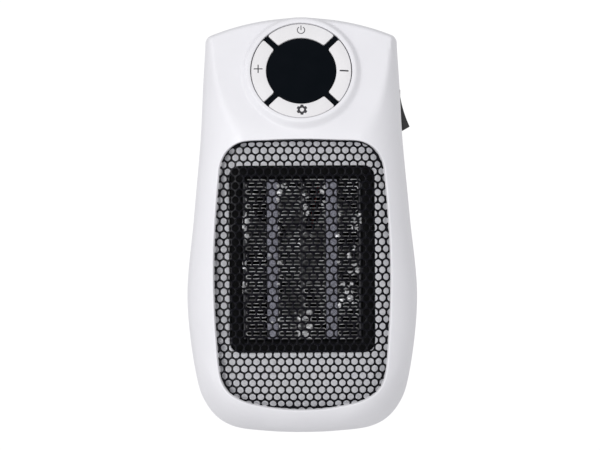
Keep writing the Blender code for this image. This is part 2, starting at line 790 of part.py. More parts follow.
def make_fan_frame():
    """The shroud round the impeller, with three arms to the motor's collar."""
    centre = (0, 0, HEATER_Z)
    frame = turned(
        "fan_frame",
        ring_profile(SHROUD_RADIUS, SHROUD_RADIUS + 1.8 * MM, -51.7 * MM, -37.5 * MM),
        "plastic_black",
        location=centre,
        closed=True,
        steps=32,
    )
    collar = turned(
        "motor_collar",
        ring_profile(MOTOR_RADIUS + GAP, MOTOR_RADIUS + 2 * MM, -39.0 * MM, -27.0 * MM),
        location=centre,
        closed=True,
    )
    join(frame, collar)
    reach = SHROUD_RADIUS + 1 * MM
    start = MOTOR_RADIUS + 1 * MM
    for arm in range(3):
        angle = math.radians(90) + arm * TURN / 3
        middle = (start + reach) / 2
        rail = box(
            f"motor_arm_{arm}",
            (reach - start, 2.4 * MM, 4 * MM),
            (middle * math.cos(angle), -38.1 * MM, HEATER_Z + middle * math.sin(angle)),
        )
        rail.rotation_euler = (0, -angle, 0)
        join(frame, rail)


def make_motor():
    centre = (0, 0, HEATER_Z)
    front = -38.5 * MM
    rear = -22.5 * MM
    wall = 0.8 * MM
    turned(
        "motor_can",
        [
            (MOTOR_RADIUS, rear),
            (MOTOR_RADIUS, front),
            (3.3 * MM, front),
            (3.3 * MM, front + wall),
            (MOTOR_RADIUS - wall, front + wall),
            (MOTOR_RADIUS - wall, rear),
        ],
        "steel",
        location=centre,
        closed=True,
    )
    turned(
        "motor_end_cap",
        [
            (MOTOR_RADIUS - wall - GAP, rear + 1.2 * MM),
            (MOTOR_RADIUS - wall - GAP, rear - 1.2 * MM),
            (SHAFT_RADIUS + GAP, rear - 1.2 * MM),
            (SHAFT_RADIUS + GAP, rear + 1.2 * MM),
        ],
        "plastic_black",
        location=centre,
        closed=True,
    )
    armature_front = front + 3.4 * MM
    armature_rear = rear - 3.0 * MM
    turned(
        "motor_armature",
        ring_profile(SHAFT_RADIUS + GAP, 9.0 * MM, armature_front, armature_rear),
        "steel",
        fan_axis,
        closed=True,
    )
    turned(
        "fan_shaft",
        [(0, rear + 0.8 * MM), (SHAFT_RADIUS, rear + 0.8 * MM), (SHAFT_RADIUS, -49.5 * MM), (0, -49.5 * MM)],
        "steel",
        fan_axis,
        steps=16,
    )


def make_impeller():
    """The hub cup with blades that follow a helix."""
    back = -40.6 * MM
    front = -50.6 * MM
    hub = turned(
        "impeller",
        [
            (HUB_RADIUS - 1.6 * MM, back),
            (HUB_RADIUS, back),
            (HUB_RADIUS, front + 1.5 * MM),
            (HUB_RADIUS - 1.5 * MM, front),
            (0, front),
            (0, -49.8 * MM),
            (SHAFT_RADIUS + GAP, -49.8 * MM),
            (SHAFT_RADIUS + GAP, back),
            (3.4 * MM, back),
            (3.4 * MM, front + 2.6 * MM),
            (HUB_RADIUS - 1.6 * MM, front + 2.6 * MM),
        ],
        "plastic_grey",
        fan_axis,
        closed=True,
        steps=21,
    )
    bm = bmesh.new()
    half_angle = math.radians(17)
    half_rise = 4.0 * MM
    middle = (back + front) / 2
    radii = np.linspace(HUB_RADIUS - 0.9 * MM, BLADE_TIP, 4)
    for blade in range(BLADES):
        start = blade * TURN / BLADES
        rows = []
        for radius in radii:
            row = []
            for share in np.linspace(-1, 1, 4):
                angle = start + share * half_angle
                rise = middle + share * half_rise
                row.append(bm.verts.new((radius * math.cos(angle), radius * math.sin(angle), rise)))
            rows.append(row)
        for lower, upper in zip(rows, rows[1:]):
            for index in range(len(lower) - 1):
                bm.faces.new((lower[index], lower[index + 1], upper[index + 1], upper[index]))
    blades = add("blades", mesh_from(bm, "blades"), None, fan_axis)
    gauge = blades.modifiers.new("gauge", "SOLIDIFY")
    gauge.thickness = 1.2 * MM
    gauge.offset = 0
    join(hub, blades)


# ---------------------------------------------------------------- dial


def lens_outline():
    """A disc with four diagonal arms that reach the dial's edge."""
    points = []
    root = math.asin(ARM_HALF_WIDTH / LENS_RADIUS)
    tip = math.asin(ARM_HALF_WIDTH / DIAL_RADIUS)
    for arm in range(4):
        angle = math.radians(45) - arm * TURN / 4
        points += arc((0, 0), LENS_RADIUS, angle + root, angle + root, 0)
        points += arc((0, 0), DIAL_RADIUS, angle + tip, angle - tip, 1)
        points += arc((0, 0), LENS_RADIUS, angle - root, angle - TURN / 4 + root, 8)[:-1]
    return points


def button_outline(angle):
    """A sector of the ring round the lens, parallel to the arms on both sides."""
    clear = ARM_HALF_WIDTH + GAP
    inner = LENS_RADIUS + GAP
    quarter = math.radians(45)
    points = []
    for radius, turn in ((DIAL_RADIUS, -1), (inner, 1)):
        span = quarter - math.asin(clear / radius)
        points += arc((0, 0), radius, angle - turn * span, angle + turn * span, 10)
    return points


def dial_plate(name, outlines, top, thickness, finish):
    return plate(name, outlines, thickness, finish, dial_axis, (0, 0, top - thickness / 2), upright=False)


def circle(radius, sides, centre=(0, 0)):
    return arc(centre, radius, TURN, 0, sides)[:-1]


def orbit(angle, radius=BUTTON_ORBIT):
    return (radius * math.cos(angle), radius * math.sin(angle))


def make_dial():
    dial_plate("display_lens", [lens_outline()], BUTTON_TOP - 0.2 * MM, 2.7 * MM, "gloss_black")
    buttons = {
        "power_button": math.radians(90),
        "plus_button": math.radians(180),
        "settings_button": math.radians(270),
        "minus_button": 0.0,
    }
    places = [orbit(angle) for angle in buttons.values()]
    stem_holes = [circle(2.1 * MM, 8, place) for place in places]
    dial_plate(
        "button_carrier",
        [circle(WELL_RADIUS - GAP, 28), circle(15.0 * MM, 16), *stem_holes],
        CARRIER_TOP,
        0.8 * MM,
        "plastic_black",
    )
    dial_plate("control_board", [circle(22.5 * MM, 28)], BOARD_TOP, BOARD_THICKNESS, "board_green")
    box("led_display", (24 * MM, 14 * MM, 5.2 * MM), (0, 0, BOARD_TOP + GAP + 2.6 * MM), "plastic_grey", dial_axis)
    for (name, angle), place in zip(buttons.items(), places):
        make_button(name, angle, place)
        make_tact_switch(name.replace("button", "tact_switch"), place)


def make_button(name, angle, place):
    cap = as_mesh(dial_plate(name, [button_outline(angle)], BUTTON_TOP, BUTTON_THICKNESS, "button_white"))
    underside = BUTTON_TOP - BUTTON_THICKNESS
    ends = (underside - STEM_LENGTH, underside + 0.8 * MM)
    join(cap, cylinder(f"{name}_stem", 1.5 * MM, ends, (*place, 0), "Z", parent=dial_axis, sides=10))


def make_tact_switch(name, place):
    low = BOARD_TOP + GAP
    high = low + 2.4 * MM
    body = box(name, (6 * MM, 6 * MM, high - low), (*place, (low + high) / 2), "plastic_black", dial_axis)
    plunger = cylinder(
        f"{name}_plunger", 1.7 * MM, (high - 0.5 * MM, high + 0.8 * MM), (*place, 0), "Z", parent=dial_axis, sides=10
    )
    join(body, plunger)


# ---------------------------------------------------------------- rocker switch


def make_switch():
    centre = (SWITCH_X, SWITCH_Y, SWITCH_Z)
    wall_x = half_width(SWITCH_Z)
    seat_x = wall_x - 1.5 * MM
    bezel_face = wall_x - 0.1 * MM
    body_back = SWITCH_X - 13 * MM
    housing = box(
        "switch_housing",
        (seat_x + 0.5 * MM - body_back, 12.6 * MM, 19.8 * MM),
        ((seat_x + 0.5 * MM + body_back) / 2, SWITCH_Y, SWITCH_Z),
        "plastic_black",
    )
    bezel = box(
        "switch_bezel",
        (bezel_face - seat_x - GAP, 14.8 * MM, 22.2 * MM),
        ((bezel_face + seat_x + GAP) / 2, SWITCH_Y, SWITCH_Z),
    )
    join(housing, bezel)
    cavity_back = SWITCH_X - 8 * MM
    cavity_front = SWITCH_X + 6 * MM
    cavity = box(
        "switch_cavity",
        (cavity_front - cavity_back, 11.4 * MM, 18.2 * MM),
        ((cavity_front + cavity_back) / 2, SWITCH_Y, SWITCH_Z),
    )
    pin_bore = cylinder("switch_pin_bore", 1.1 * MM, (-6.1 * MM, 6.1 * MM), centre, "Y", sides=12)
    cut(housing, cavity, pin_bore)
    cylinder("rocker_pin", 0.8 * MM, (-6.0 * MM, 6.0 * MM), centre, "Y", "steel", sides=12)
    for index, z in ((1, 4.5 * MM), (2, -4.5 * MM)):
        tab = (body_back - GAP - 3.5 * MM, SWITCH_Y, SWITCH_Z + z)
        box(f"switch_terminal_{index}", (7 * MM, 4.8 * MM, 0.8 * MM), tab, "brass")
    profile = [
        (3.4 * MM, 7.5 * MM),
        (2.9 * MM, 0),
        (3.4 * MM, -7.5 * MM),
        (-0.8 * MM, -8.4 * MM),
        (-1.6 * MM, -4.5 * MM),
        (-2.6 * MM, 0),
        (-1.6 * MM, 4.5 * MM),
        (-0.8 * MM, 8.4 * MM),
    ]
    rocker = as_mesh(plate("rocker", [profile], 10.6 * MM, "plastic_black", rocker_axis))
    rocker.rotation_euler.y = -ROCKER_REST
    cut(rocker, cylinder("rocker_bore", 1.1 * MM, (-8 * MM, 8 * MM), (0, 0, 0), "Y", parent=rocker_axis, sides=12))


# ---------------------------------------------------------------- plug and its contacts


def make_plug():
    """The plug that stays in the socket while the case turns round it."""
    half = PIN_SPACING / 2
    flange_rear = BACK_Y - WALL - 0.4 * MM
    flange_front = flange_rear - 2.4 * MM
    body = turned(
        "plug_body",
        [
            (0, 0),
            (PLUG_RADIUS - 0.8 * MM, 0),
            (PLUG_RADIUS, -0.8 * MM),
            (PLUG_RADIUS, flange_rear),
            (FLANGE_RADIUS, flange_rear),
            (FLANGE_RADIUS, flange_front),
            (0, flange_front),
        ],
        "case_white",
        plug_axis,
        steps=36,
    )
    contact_start = flange_front - 2.6 * MM
    for side, sign in (("left", -1), ("right", 1)):
        ends = (flange_front - 1 * MM, 1 * MM)
        cut(body, cylinder(f"pin_bore_{side}", PIN_RADIUS + GAP, ends, (sign * half, 0, 0), "Y", sides=16))
        turned(
            f"plug_pin_{side}",
            [
                (0, PIN_LENGTH),
                (PIN_RADIUS - 1 * MM, PIN_LENGTH),
                (PIN_RADIUS, PIN_LENGTH - 1.5 * MM),
                (PIN_RADIUS, contact_start),
                (0, contact_start),
            ],
            "nickel",
            location=(sign * half, 0, 0),
            steps=14,
        )
    ring_face = -32.8 * MM
    spring_radii = {"left": 10.5 * MM, "right": -4.5 * MM}
    for side, radius in spring_radii.items():
        sign = -1 if side == "left" else 1
        start = contact_start - GAP - 0.3 * MM
        route = [
            (sign * (half + 2 * MM), start),
            (sign * (half - 2 * MM), start),
            (-radius, start - 3 * MM),
            (-radius, ring_face + 0.4 * MM),
        ]
        plate(f"contact_spring_{side}", [strip(route, 0.5 * MM)], 3.0 * MM, "brass", upright=False)


def make_plug_seat():
    """The retainer that holds the plug's flange, and the contact rings on the main board."""
    retainer_rear = BACK_Y - WALL - 0.4 * MM - 2.4 * MM - 0.4 * MM
    turned(
        "plug_retainer",
        ring_profile(13.5 * MM, 27.0 * MM, retainer_rear - 2.0 * MM, retainer_rear),
        "plastic_black",
        closed=True,
        steps=32,
    )
    for name, inner, outer in (("inner", 2.6, 6.4), ("outer", 8.6, 12.4)):
        turned(
            f"contact_ring_{name}",
            ring_profile(inner * MM, outer * MM, -33.7 * MM, -33.1 * MM),
            "brass",
            closed=True,
        )


# ---------------------------------------------------------------- boards, protection and leads


def make_power_board():
    box("main_board", (62 * MM, 1.6 * MM, 44 * MM), (-4 * MM, -34.8 * MM, 4 * MM), "board_green")
    box("relay", (19 * MM, 15 * MM, 15 * MM), (-20 * MM, -43.4 * MM, 6 * MM), "plastic_ivory", bevel=0.6 * MM)
    box("filter_capacitor", (18 * MM, 10 * MM, 13 * MM), (4 * MM, -41.0 * MM, 0), "plastic_ivory", bevel=0.6 * MM)
    box("thermal_cutoff", (15 * MM, 8 * MM, 3.6 * MM), (0, -77 * MM, -16.0 * MM), "plastic_ivory", bevel=0.4 * MM)
    cylinder("thermal_fuse", 2.0 * MM, (-5 * MM, 5 * MM), (0, -60 * MM, -18.4 * MM), "X", "steel", sides=12)


def make_leads():
    start = FRAME_TOP_Z + 2 * GAP + TERMINAL_LENGTH + 0.2 * MM
    for side, sign in (("left", -1), ("right", 1)):
        x = sign * BAR_X
        route = [
            (x, TERMINAL_Y, start),
            (x, TERMINAL_Y + 2 * MM, start + 4 * MM),
            (x * 0.95, -62 * MM, start + 6 * MM),
            (x * 0.9, -48 * MM, -12 * MM),
            (x * 0.9, -36.9 * MM, -14 * MM),
        ]
        tube(f"heater_lead_{side}", route, 1.0 * MM, "lead_red")
    route = [
        (5 * MM, -20.3 * MM, HEATER_Z + 5 * MM),
        (5 * MM, -20.4 * MM, HEATER_Z + 13 * MM),
        (5 * MM, -22.6 * MM, HEATER_Z + 22 * MM),
        (8 * MM, -30 * MM, -26 * MM),
        (9 * MM, -33.0 * MM, -19.8 * MM),
    ]
    tube("motor_lead", route, 0.7 * MM, "lead_red")


def make_screws():
    head_seat = -41.7 * MM
    for side, (x, z) in SCREW_PLACES.items():
        turned(
            f"case_screw_{side}",
            [
                (0, head_seat + 2.0 * MM),
                (2.4 * MM, head_seat + 2.0 * MM),
                (2.7 * MM, head_seat + 1.4 * MM),
                (2.7 * MM, head_seat),
                (1.4 * MM, head_seat),
                (1.4 * MM, PARTING_Y - 7 * MM),
                (0, PARTING_Y - 8.2 * MM),
            ],
            "steel",
            location=(x, 0, z),
            steps=12,
        )


# ---------------------------------------------------------------- assembly

plug_axis = axis_empty("plug_axis", (0, 0, 0), (-math.pi / 2, 0, 0))
fan_axis = axis_empty("fan_axis", (0, 0, HEATER_Z), (-math.pi / 2, 0, 0))
dial_axis = axis_empty("dial_axis", (0, DIAL_Y, DIAL_Z), (math.pi / 2 - LEAN, 0, 0))
rocker_axis = axis_empty("rocker_axis", (SWITCH_X, SWITCH_Y, SWITCH_Z))

make_front_shell()
make_rear_shell()
make_grille()
make_baffle()
make_heater()
make_air_duct()
make_fan_frame()
make_motor()
make_impeller()
make_dial()
make_switch()
make_plug()
make_plug_seat()
make_power_board()
make_leads()
make_screws()
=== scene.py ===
"""The looks of a plug-in ceramic fan heater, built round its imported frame.

Row frame: metres, +Z up, the grille faces -Y and the plug's rear face is at Y = 0. Outlines are (x, z)
points, clockwise seen from the front, and become solid by being placed at a depth below a surface.
"""

import math
import random

import bmesh
import bpy
import numpy as np
from mathutils import Euler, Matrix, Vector
from mathutils.geometry import delaunay_2d_cdt
from mathutils.kdtree import KDTree


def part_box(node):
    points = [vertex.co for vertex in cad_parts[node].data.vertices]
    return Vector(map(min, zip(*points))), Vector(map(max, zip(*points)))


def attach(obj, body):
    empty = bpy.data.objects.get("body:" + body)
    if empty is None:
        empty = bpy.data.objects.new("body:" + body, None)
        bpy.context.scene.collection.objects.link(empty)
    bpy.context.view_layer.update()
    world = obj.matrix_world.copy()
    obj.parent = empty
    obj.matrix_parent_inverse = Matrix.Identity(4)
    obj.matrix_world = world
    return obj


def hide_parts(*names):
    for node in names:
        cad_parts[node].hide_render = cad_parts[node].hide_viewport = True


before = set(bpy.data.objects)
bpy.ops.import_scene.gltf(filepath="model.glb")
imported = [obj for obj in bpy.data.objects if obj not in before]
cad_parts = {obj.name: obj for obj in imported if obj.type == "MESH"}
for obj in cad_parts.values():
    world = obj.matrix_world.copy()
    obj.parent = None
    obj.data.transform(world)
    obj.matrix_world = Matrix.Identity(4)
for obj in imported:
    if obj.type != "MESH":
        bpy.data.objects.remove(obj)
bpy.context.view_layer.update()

MM = 0.001
TURN = 2 * math.pi

EVEN = (1, 1, 1)
SHARP_ANGLE = math.radians(35)
WELD_DISTANCE = 0.0005 * MM
AXIS_GAP = 0.02 * MM

# Camera: far away, with a long lens
CAMERA_PLACE = (-0.0009, -5.0, -0.045)
CAMERA_ROLL = math.radians(0.28)
CAMERA_LENS = 645.0

# Lights: (name, place, size, power in watts), all aimed at one point
LIGHTS = [
    ("key", (-0.75, -2.15, 0.05), 0.8, 16.0),
    ("left", (-1.3, -0.5, 0.3), 0.9, 0.6),
    ("near", (-0.45, -0.5, 0.18), 0.18, 0.2),
]
LIT_POINT = Vector((0, -0.06, -0.045))
WORLD_BRIGHT_SIDE = (-0.93, -0.3, 0.1)
WORLD_STRENGTH = (0.7, 0.74)
FLOOR_RADIUS = 0.75
FLOOR_DROP = 0.11

# Case, as in the frame. Keys are (x, height above the bottom) in mm
WALL = 2.2 * MM
GAP = 0.3 * MM
BODY_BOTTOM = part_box("rear_shell")[0].z
BODY_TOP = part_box("rear_shell")[1].z
TOP_RADIUS = 111.5 * MM
CORNER_RADIUS = 4.0 * MM
SHOULDER_HALF_WIDTH = 43.9 * MM
SIDE_KEYS = [
    (45.1, 158.0), (46.2, 136.0), (49.5, 99.0), (52.7, 61.0), (48.7, 26.0),
    (45.5, 15.5), (39.5, 7.3), (31.6, 2.8), (16.0, 0.6), (0.0, 0.0),
]
BELLY_TOP = BODY_BOTTOM + 16.0 * MM
FRONT_Y = -95.0 * MM
RIM_Y = -67.0 * MM
PARTING_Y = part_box("front_shell")[1].y + GAP
REAR_EDGE_Y = -29.0 * MM
BACK_Y = -17.0 * MM
FLANK_WIDTH = 20.0 * MM
BELLY_WIDTH = 18.0 * MM
REAR_ROUNDING = 12.0 * MM
EDGE_FILLET = 1.5 * MM
CREASE_BLEND = 2.0 * MM
PARTING_ROUNDING = 0.35 * MM
HOLE_CLEARANCE = 0.6 * MM
RIM_OFFSETS = [-3.0, -2.2, -1.6, -1.15, -0.8, -0.5, -0.28, -0.12, -0.03, 0.0]

# Upper face and dial
LEAN = math.radians(20)
LEAN_START_Z = -1.0 * MM
LENS_TOP = 2.4 * MM
LENS_THICKNESS = 2.7 * MM
ACROSS = np.array((1.0, 0.0, 0.0))
UPWARDS = np.array((0.0, math.sin(LEAN), math.cos(LEAN)))
OUTWARDS = np.array((0.0, -math.cos(LEAN), math.sin(LEAN)))
DIAL_CENTRE = np.array(sum(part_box("display_lens"), Vector()) / 2) - OUTWARDS * (LENS_TOP - LENS_THICKNESS / 2)
COLLAR_RISE = 3.2 * MM
COLLAR_LAND = 24.7 * MM
COLLAR_FOOT = 27.7 * MM
COLLAR_RINGS = np.arange(24.2, 29.0, 0.4) * MM
FACE_MARGIN, FACE_BLEND = 1.0 * MM, 3.0 * MM
WELL_RADIUS = 23.3 * MM
DIAL_RADIUS = 22.9 * MM
LENS_RADIUS = 15.8 * MM
ARM_HALF_WIDTH = 1.1 * MM
BUTTON_TOP = 2.6 * MM
BUTTON_THICKNESS = 2.4 * MM
BUTTON_ORBIT = 19.7 * MM

# Outlet
WINDOW_KEYS = [
    (0.0, 134.3), (15.0, 133.9), (28.0, 132.9), (34.0, 129.4), (37.5, 123.5), (38.6, 115.7), (40.4, 92.0),
    (40.9, 72.0), (39.9, 44.0), (37.9, 25.0), (35.1, 19.3), (28.5, 14.7), (15.0, 11.3), (0.0, 10.1),
]
GRILLE_RECESS = 0.9 * MM
SHEET_GAUGE = 0.6 * MM
SHEET_ROUNDING = 0.3 * MM
HOLE_PITCH = 3.725 * MM
ROW_PITCH = 3.216 * MM
HOLE_WIDTH = 2.92 * MM
HOLE_CORNER = 1.1 * MM
HOLE_MARGIN = 0.35 * MM
HOLE_ROWS, HOLE_COLUMNS = range(-30, 12), range(-13, 14)
FIRST_HOLE = (-0.55 * MM, BODY_BOTTOM + 106.55 * MM)
ROLL_RADIUS = 1.9 * MM
ROLL_ANGLE = math.radians(85)
SKIRT = 1.4 * MM

ROCKER_REST = math.radians(17)

SCREEN_Y = BACK_Y - WALL - 0.35 * MM

# Heater
FRAME_LOW, FRAME_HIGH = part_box("heater_frame")
FRAME_CORNER = 4.6 * MM
CORE_SIZE = (54.2 * MM, 74.0 * MM)
HEATER_Z = (FRAME_LOW.z + FRAME_HIGH.z) / 2
FRAME_SIZE = (FRAME_HIGH.x - FRAME_LOW.x, FRAME_HIGH.z - FRAME_LOW.z)
FIN_WALLS = 46
FIN_GAUGE = 0.22 * MM

# Silvery lumps on the heater, shaped like glue squeezed out and set where it shows glints, as painted glints:
# (node they cling to, which side, middle and spread as shares of the core's height, spread across in mm, how
# many, largest radius in mm)
GLINT_LUMP_CLUSTERS = [
    ("side_plate_left", -1, 0.74, 0.05, 0.3, 8, 1.0),
    ("side_plate_left", -1, 0.4, 0.12, 0.3, 9, 1.1),
    ("side_plate_left", 1, 0.7, 0.08, 1.2, 6, 0.9),
    ("heating_bar_left", 1, 0.91, 0.06, 1.4, 9, 1.0),
    ("heating_bar_left", 1, 0.42, 0.3, 0.8, 6, 0.8),
    ("heating_bar_left", 1, 0.95, 0.02, 6.0, 6, 0.7),
    ("heating_bar_right", -1, 0.9, 0.06, 1.4, 9, 1.0),
    ("centre_strip", 1, 0.86, 0.09, 2.4, 9, 0.8),
    ("side_plate_right", 1, 0.75, 0.03, 0.4, 6, 1.1),
    ("side_plate_right", -1, 0.5, 0.1, 5.0, 16, 0.9),
    ("side_plate_right", -1, 0.7, 0.05, 3.0, 5, 0.8),
    ("heating_bar_right", 1, 0.26, 0.09, 7.5, 22, 0.9),
    ("heating_bar_right", 1, 0.6, 0.2, 1.2, 5, 0.8),
    ("centre_strip", 1, 0.09, 0.08, 3.6, 16, 1.0),
    ("centre_strip", -1, 0.09, 0.08, 2.4, 8, 0.9),
    ("fin_pack_outer_left", 1, 0.38, 0.3, 4.0, 4, 0.7),
]


# ---- outlines


def smooth_through(keys, steps, before=None, after=None):
    """Points on a centripetal Catmull-Rom curve through the keys, with steps to each span."""
    keys = [np.array(key, float) for key in keys]
    before = 2 * keys[0] - keys[1] if before is None else np.array(before, float)
    after = 2 * keys[-1] - keys[-2] if after is None else np.array(after, float)
    chain = [before, *keys, after]
    points = []
    for p0, p1, p2, p3 in zip(chain, chain[1:], chain[2:], chain[3:]):
        spans = [math.sqrt(np.linalg.norm(b - a)) for a, b in ((p0, p1), (p1, p2), (p2, p3))]
        k0, k1, k2, k3 = np.cumsum([0.0] + spans)
        for t in np.linspace(k1, k2, steps, endpoint=False):
            a1 = p0 + (p1 - p0) * (t - k0) / (k1 - k0)
            a2 = p1 + (p2 - p1) * (t - k1) / (k2 - k1)
            a3 = p2 + (p3 - p2) * (t - k2) / (k3 - k2)
            b1 = a1 + (a2 - a1) * (t - k0) / (k2 - k0)
            b2 = a2 + (a3 - a2) * (t - k1) / (k3 - k1)
            points.append(b1 + (b2 - b1) * (t - k1) / (k2 - k1))
    points.append(keys[-1])
    return np.array(points)


def arc(centre, radius, start, end, steps):
    """Points along an arc, angles in radians from the first axis towards the second."""
    angles = np.linspace(start, end, steps + 1)
    return np.stack([centre[0] + radius * np.cos(angles), centre[1] + radius * np.sin(angles)], 1)


def circle(radius, sides, centre=(0, 0)):
    return arc(centre, radius, TURN, 0, sides)[:-1]


def mirrored(half):
    """A closed outline from its right half, which runs from the top centre to the bottom centre."""
    return np.concatenate([half, half[-2:0:-1] * (-1, 1)])


def spaced(outline, spacing):
    """A closed outline divided again into equal steps of about the spacing."""
    closed = np.concatenate([outline, outline[:1]])
    along = np.concatenate([[0], np.cumsum(np.linalg.norm(np.diff(closed, axis=0), axis=1))])
    marks = np.linspace(0, along[-1], max(round(along[-1] / spacing), 8), endpoint=False)
    return np.stack([np.interp(marks, along, closed[:, 0]), np.interp(marks, along, closed[:, 1])], 1)


def raised(keys):
    """Keys in mm above the case's bottom, as points in metres."""
    return [(x * MM, BODY_BOTTOM + height * MM) for x, height in keys]


def body_half_outline():
    """The case's right half: the arched top, its corner, and the side down to the bottom centre."""
    arch_centre = BODY_TOP - TOP_RADIUS
    corner_x = SHOULDER_HALF_WIDTH - CORNER_RADIUS
    corner_z = arch_centre + math.sqrt((TOP_RADIUS - CORNER_RADIUS) ** 2 - corner_x**2)
    tangent = math.atan2(corner_z - arch_centre, corner_x)
    arch = arc((0, arch_centre), TOP_RADIUS, math.pi / 2, tangent, 40)
    corner = arc((corner_x, corner_z), CORNER_RADIUS, tangent, 0, 12)
    side = raised(SIDE_KEYS)
    shoulder = corner[-1]
    above = (shoulder[0], shoulder[1] + CORNER_RADIUS)
    below = (-side[-2][0], side[-2][1])
    return np.concatenate([arch[:-1], corner[:-1], smooth_through([shoulder] + side, 16, above, below)])


def window_half_outline():
    keys = raised(WINDOW_KEYS)
    return smooth_through(keys, 12, (-keys[1][0], keys[1][1]), (-keys[-2][0], keys[-2][1]))


def normals_of(outline, reach=1):
    """Outward normals at the points of a closed clockwise outline, square to the chord between neighbours."""
    along = np.roll(outline, -reach, axis=0) - np.roll(outline, reach, axis=0)
    along /= np.linalg.norm(along, axis=1)[:, None]
    return np.stack([-along[:, 1], along[:, 0]], axis=1)


def grown(outline, amount):
    """A closed clockwise outline moved outwards by an amount, or inwards by a negative one.

    Far moves go along smoother normals, so that the outline doesn't fold over itself.
    """
    reach = 4 if abs(amount) > 2 * MM else 1
    return outline + amount * normals_of(outline, reach)


def rounded_rectangle(width, height, radius, centre=(0, 0), steps=5):
    sides = []
    for right, up, start in [(1, 1, 90), (1, -1, 0), (-1, -1, -90), (-1, 1, -180)]:
        middle = (centre[0] + right * (width / 2 - radius), centre[1] + up * (height / 2 - radius))
        sides.append(arc(middle, radius, math.radians(start), math.radians(start - 90), steps))
    return np.concatenate(sides)


def rounded_corners(corners, radius, steps=4):
    """A closed outline with its corners rounded to about the radius."""
    corners = np.array(corners, float)
    points = []
    for before, corner, after in zip(np.roll(corners, 1, 0), corners, np.roll(corners, -1, 0)):
        back, on = (before - corner), (after - corner)
        back /= np.linalg.norm(back)
        on /= np.linalg.norm(on)
        half = math.acos(np.clip(back @ on, -1, 1)) / 2
        reach = radius / math.tan(half)
        for share in np.linspace(0, 1, steps + 1):
            start = corner + back * reach * (1 - share)
            end = corner + on * reach * share
            points.append(start * (1 - share) + end * share)
    return np.array(points)


def clockwise(outline):
    x, z = outline.T
    area = (x * np.roll(z, -1) - np.roll(x, -1) * z).sum()
    return outline[::-1] if area > 0 else outline


def nearest_on(outline, points):
    """How deep points lie in a closed clockwise outline, their nearest places on it, its normals there."""
    tree = KDTree(len(outline))
    for index, (x, z) in enumerate(outline):
        tree.insert((x, z, 0), index)
    tree.balance()
    nearest = np.array([tree.find((x, z, 0))[1] for x, z in points.tolist()], int)
    normals = normals_of(outline)
    depth = np.full(len(points), np.inf)
    place, normal = np.empty((len(points), 2)), np.empty((len(points), 2))
    for first in (nearest - 1, nearest):
        second = (first + 1) % len(outline)
        edge = outline[second] - outline[first]
        share = ((points - outline[first]) * edge).sum(axis=1) / (edge**2).sum(axis=1)
        share = np.clip(share, 0, 1)[:, None]
        foot = outline[first] + edge * share
        away = np.linalg.norm(points - foot, axis=1)
        closer = away < np.abs(depth)
        outward = np.stack([-edge[:, 1], edge[:, 0]], 1)
        sign = np.where(((points - foot) * outward).sum(axis=1) > 0, -1, 1)
        depth = np.where(closer, away * sign, depth)
        place[closer] = foot[closer]
        normal[closer] = (normals[first] * (1 - share) + normals[second] * share)[closer]
    return depth, place, normal / np.linalg.norm(normal, axis=1)[:, None]


def grid_inside(outline, holes, spacing, margin):
    """A staggered grid of points inside an outline and outside its holes, clear of them by a margin."""
    low, high = outline.min(axis=0), outline.max(axis=0)
    rows = []
    for index, z in enumerate(np.arange(low[1], high[1], spacing * math.sqrt(3) / 2)):
        x = np.arange(low[0] + (index % 2) * spacing / 2, high[0], spacing)
        rows.append(np.stack([x, np.full(len(x), z)], 1))
    points = np.concatenate(rows)
    points = points[nearest_on(outline, points)[0] > margin]
    return outside(holes, points, margin)


def outside(holes, points, margin):
    """The points that are clear of every hole by a margin."""
    for hole in holes:
        points = points[nearest_on(clockwise(hole), points)[0] < -margin]
    return points


BODY_HALF = body_half_outline()
BODY_OUTLINE = spaced(mirrored(BODY_HALF), 0.6 * MM)
WINDOW_OUTLINE = spaced(mirrored(window_half_outline()), 1.0 * MM)
SHOULDER_Z = max(z for x, z in BODY_HALF if x >= SHOULDER_HALF_WIDTH - 0.01 * MM)
FLANK = BODY_HALF[BODY_HALF[:, 1] <= SHOULDER_Z]
FLANK = FLANK[np.argsort(FLANK[:, 1])]
BELLY = BODY_HALF[BODY_HALF[:, 1] <= BELLY_TOP]
BELLY = BELLY[np.argsort(BELLY[:, 0])]


# ---- surfaces


def half_width(z):
    return np.interp(z, FLANK[:, 1], FLANK[:, 0])


def crown(depth, width):
    """A quarter ellipse: 0 at the rim, 1 from the width inwards."""
    return np.sqrt(1 - (1 - np.clip(depth / width, 0, 1)) ** 2)


def smooth_step(values):
    share = np.clip(values, 0, 1)
    return share * share * (3 - 2 * share)


def soft_min(first, second, blend):
    overlap = np.maximum(blend - np.abs(first - second), 0) / blend
    return np.minimum(first, second) - overlap**2 * blend / 4


def front_y(points, rim):
    """The front skin: a pillow, cut by the upper face that leans back. rim is the distance to the outline."""
    x, z = np.abs(points[:, 0]), points[:, 1]
    side = crown(half_width(z) - x, FLANK_WIDTH)
    belly = crown(z - np.interp(x, BELLY[:, 0], BELLY[:, 1]), BELLY_WIDTH)
    pillow = (RIM_Y - FRONT_Y) * side * belly
    leaning = RIM_Y - FRONT_Y - math.tan(LEAN) * (z - LEAN_START_Z)
    return RIM_Y - soft_min(pillow, leaning, CREASE_BLEND) * crown(rim, EDGE_FILLET)


def rear_y(points, rim):
    """The rear skin: a flat back with rounded edges."""
    x, z = np.abs(points[:, 0]), points[:, 1]
    side = crown(half_width(z) - x, REAR_ROUNDING)
    belly = crown(z - np.interp(x, BELLY[:, 0], BELLY[:, 1]), REAR_ROUNDING)
    top_edge = BODY_TOP - TOP_RADIUS + np.sqrt(TOP_RADIUS**2 - x**2)
    top = crown(top_edge - z, REAR_ROUNDING)
    return REAR_EDGE_Y + (BACK_Y - REAR_EDGE_Y) * side * belly * top * crown(rim, EDGE_FILLET)


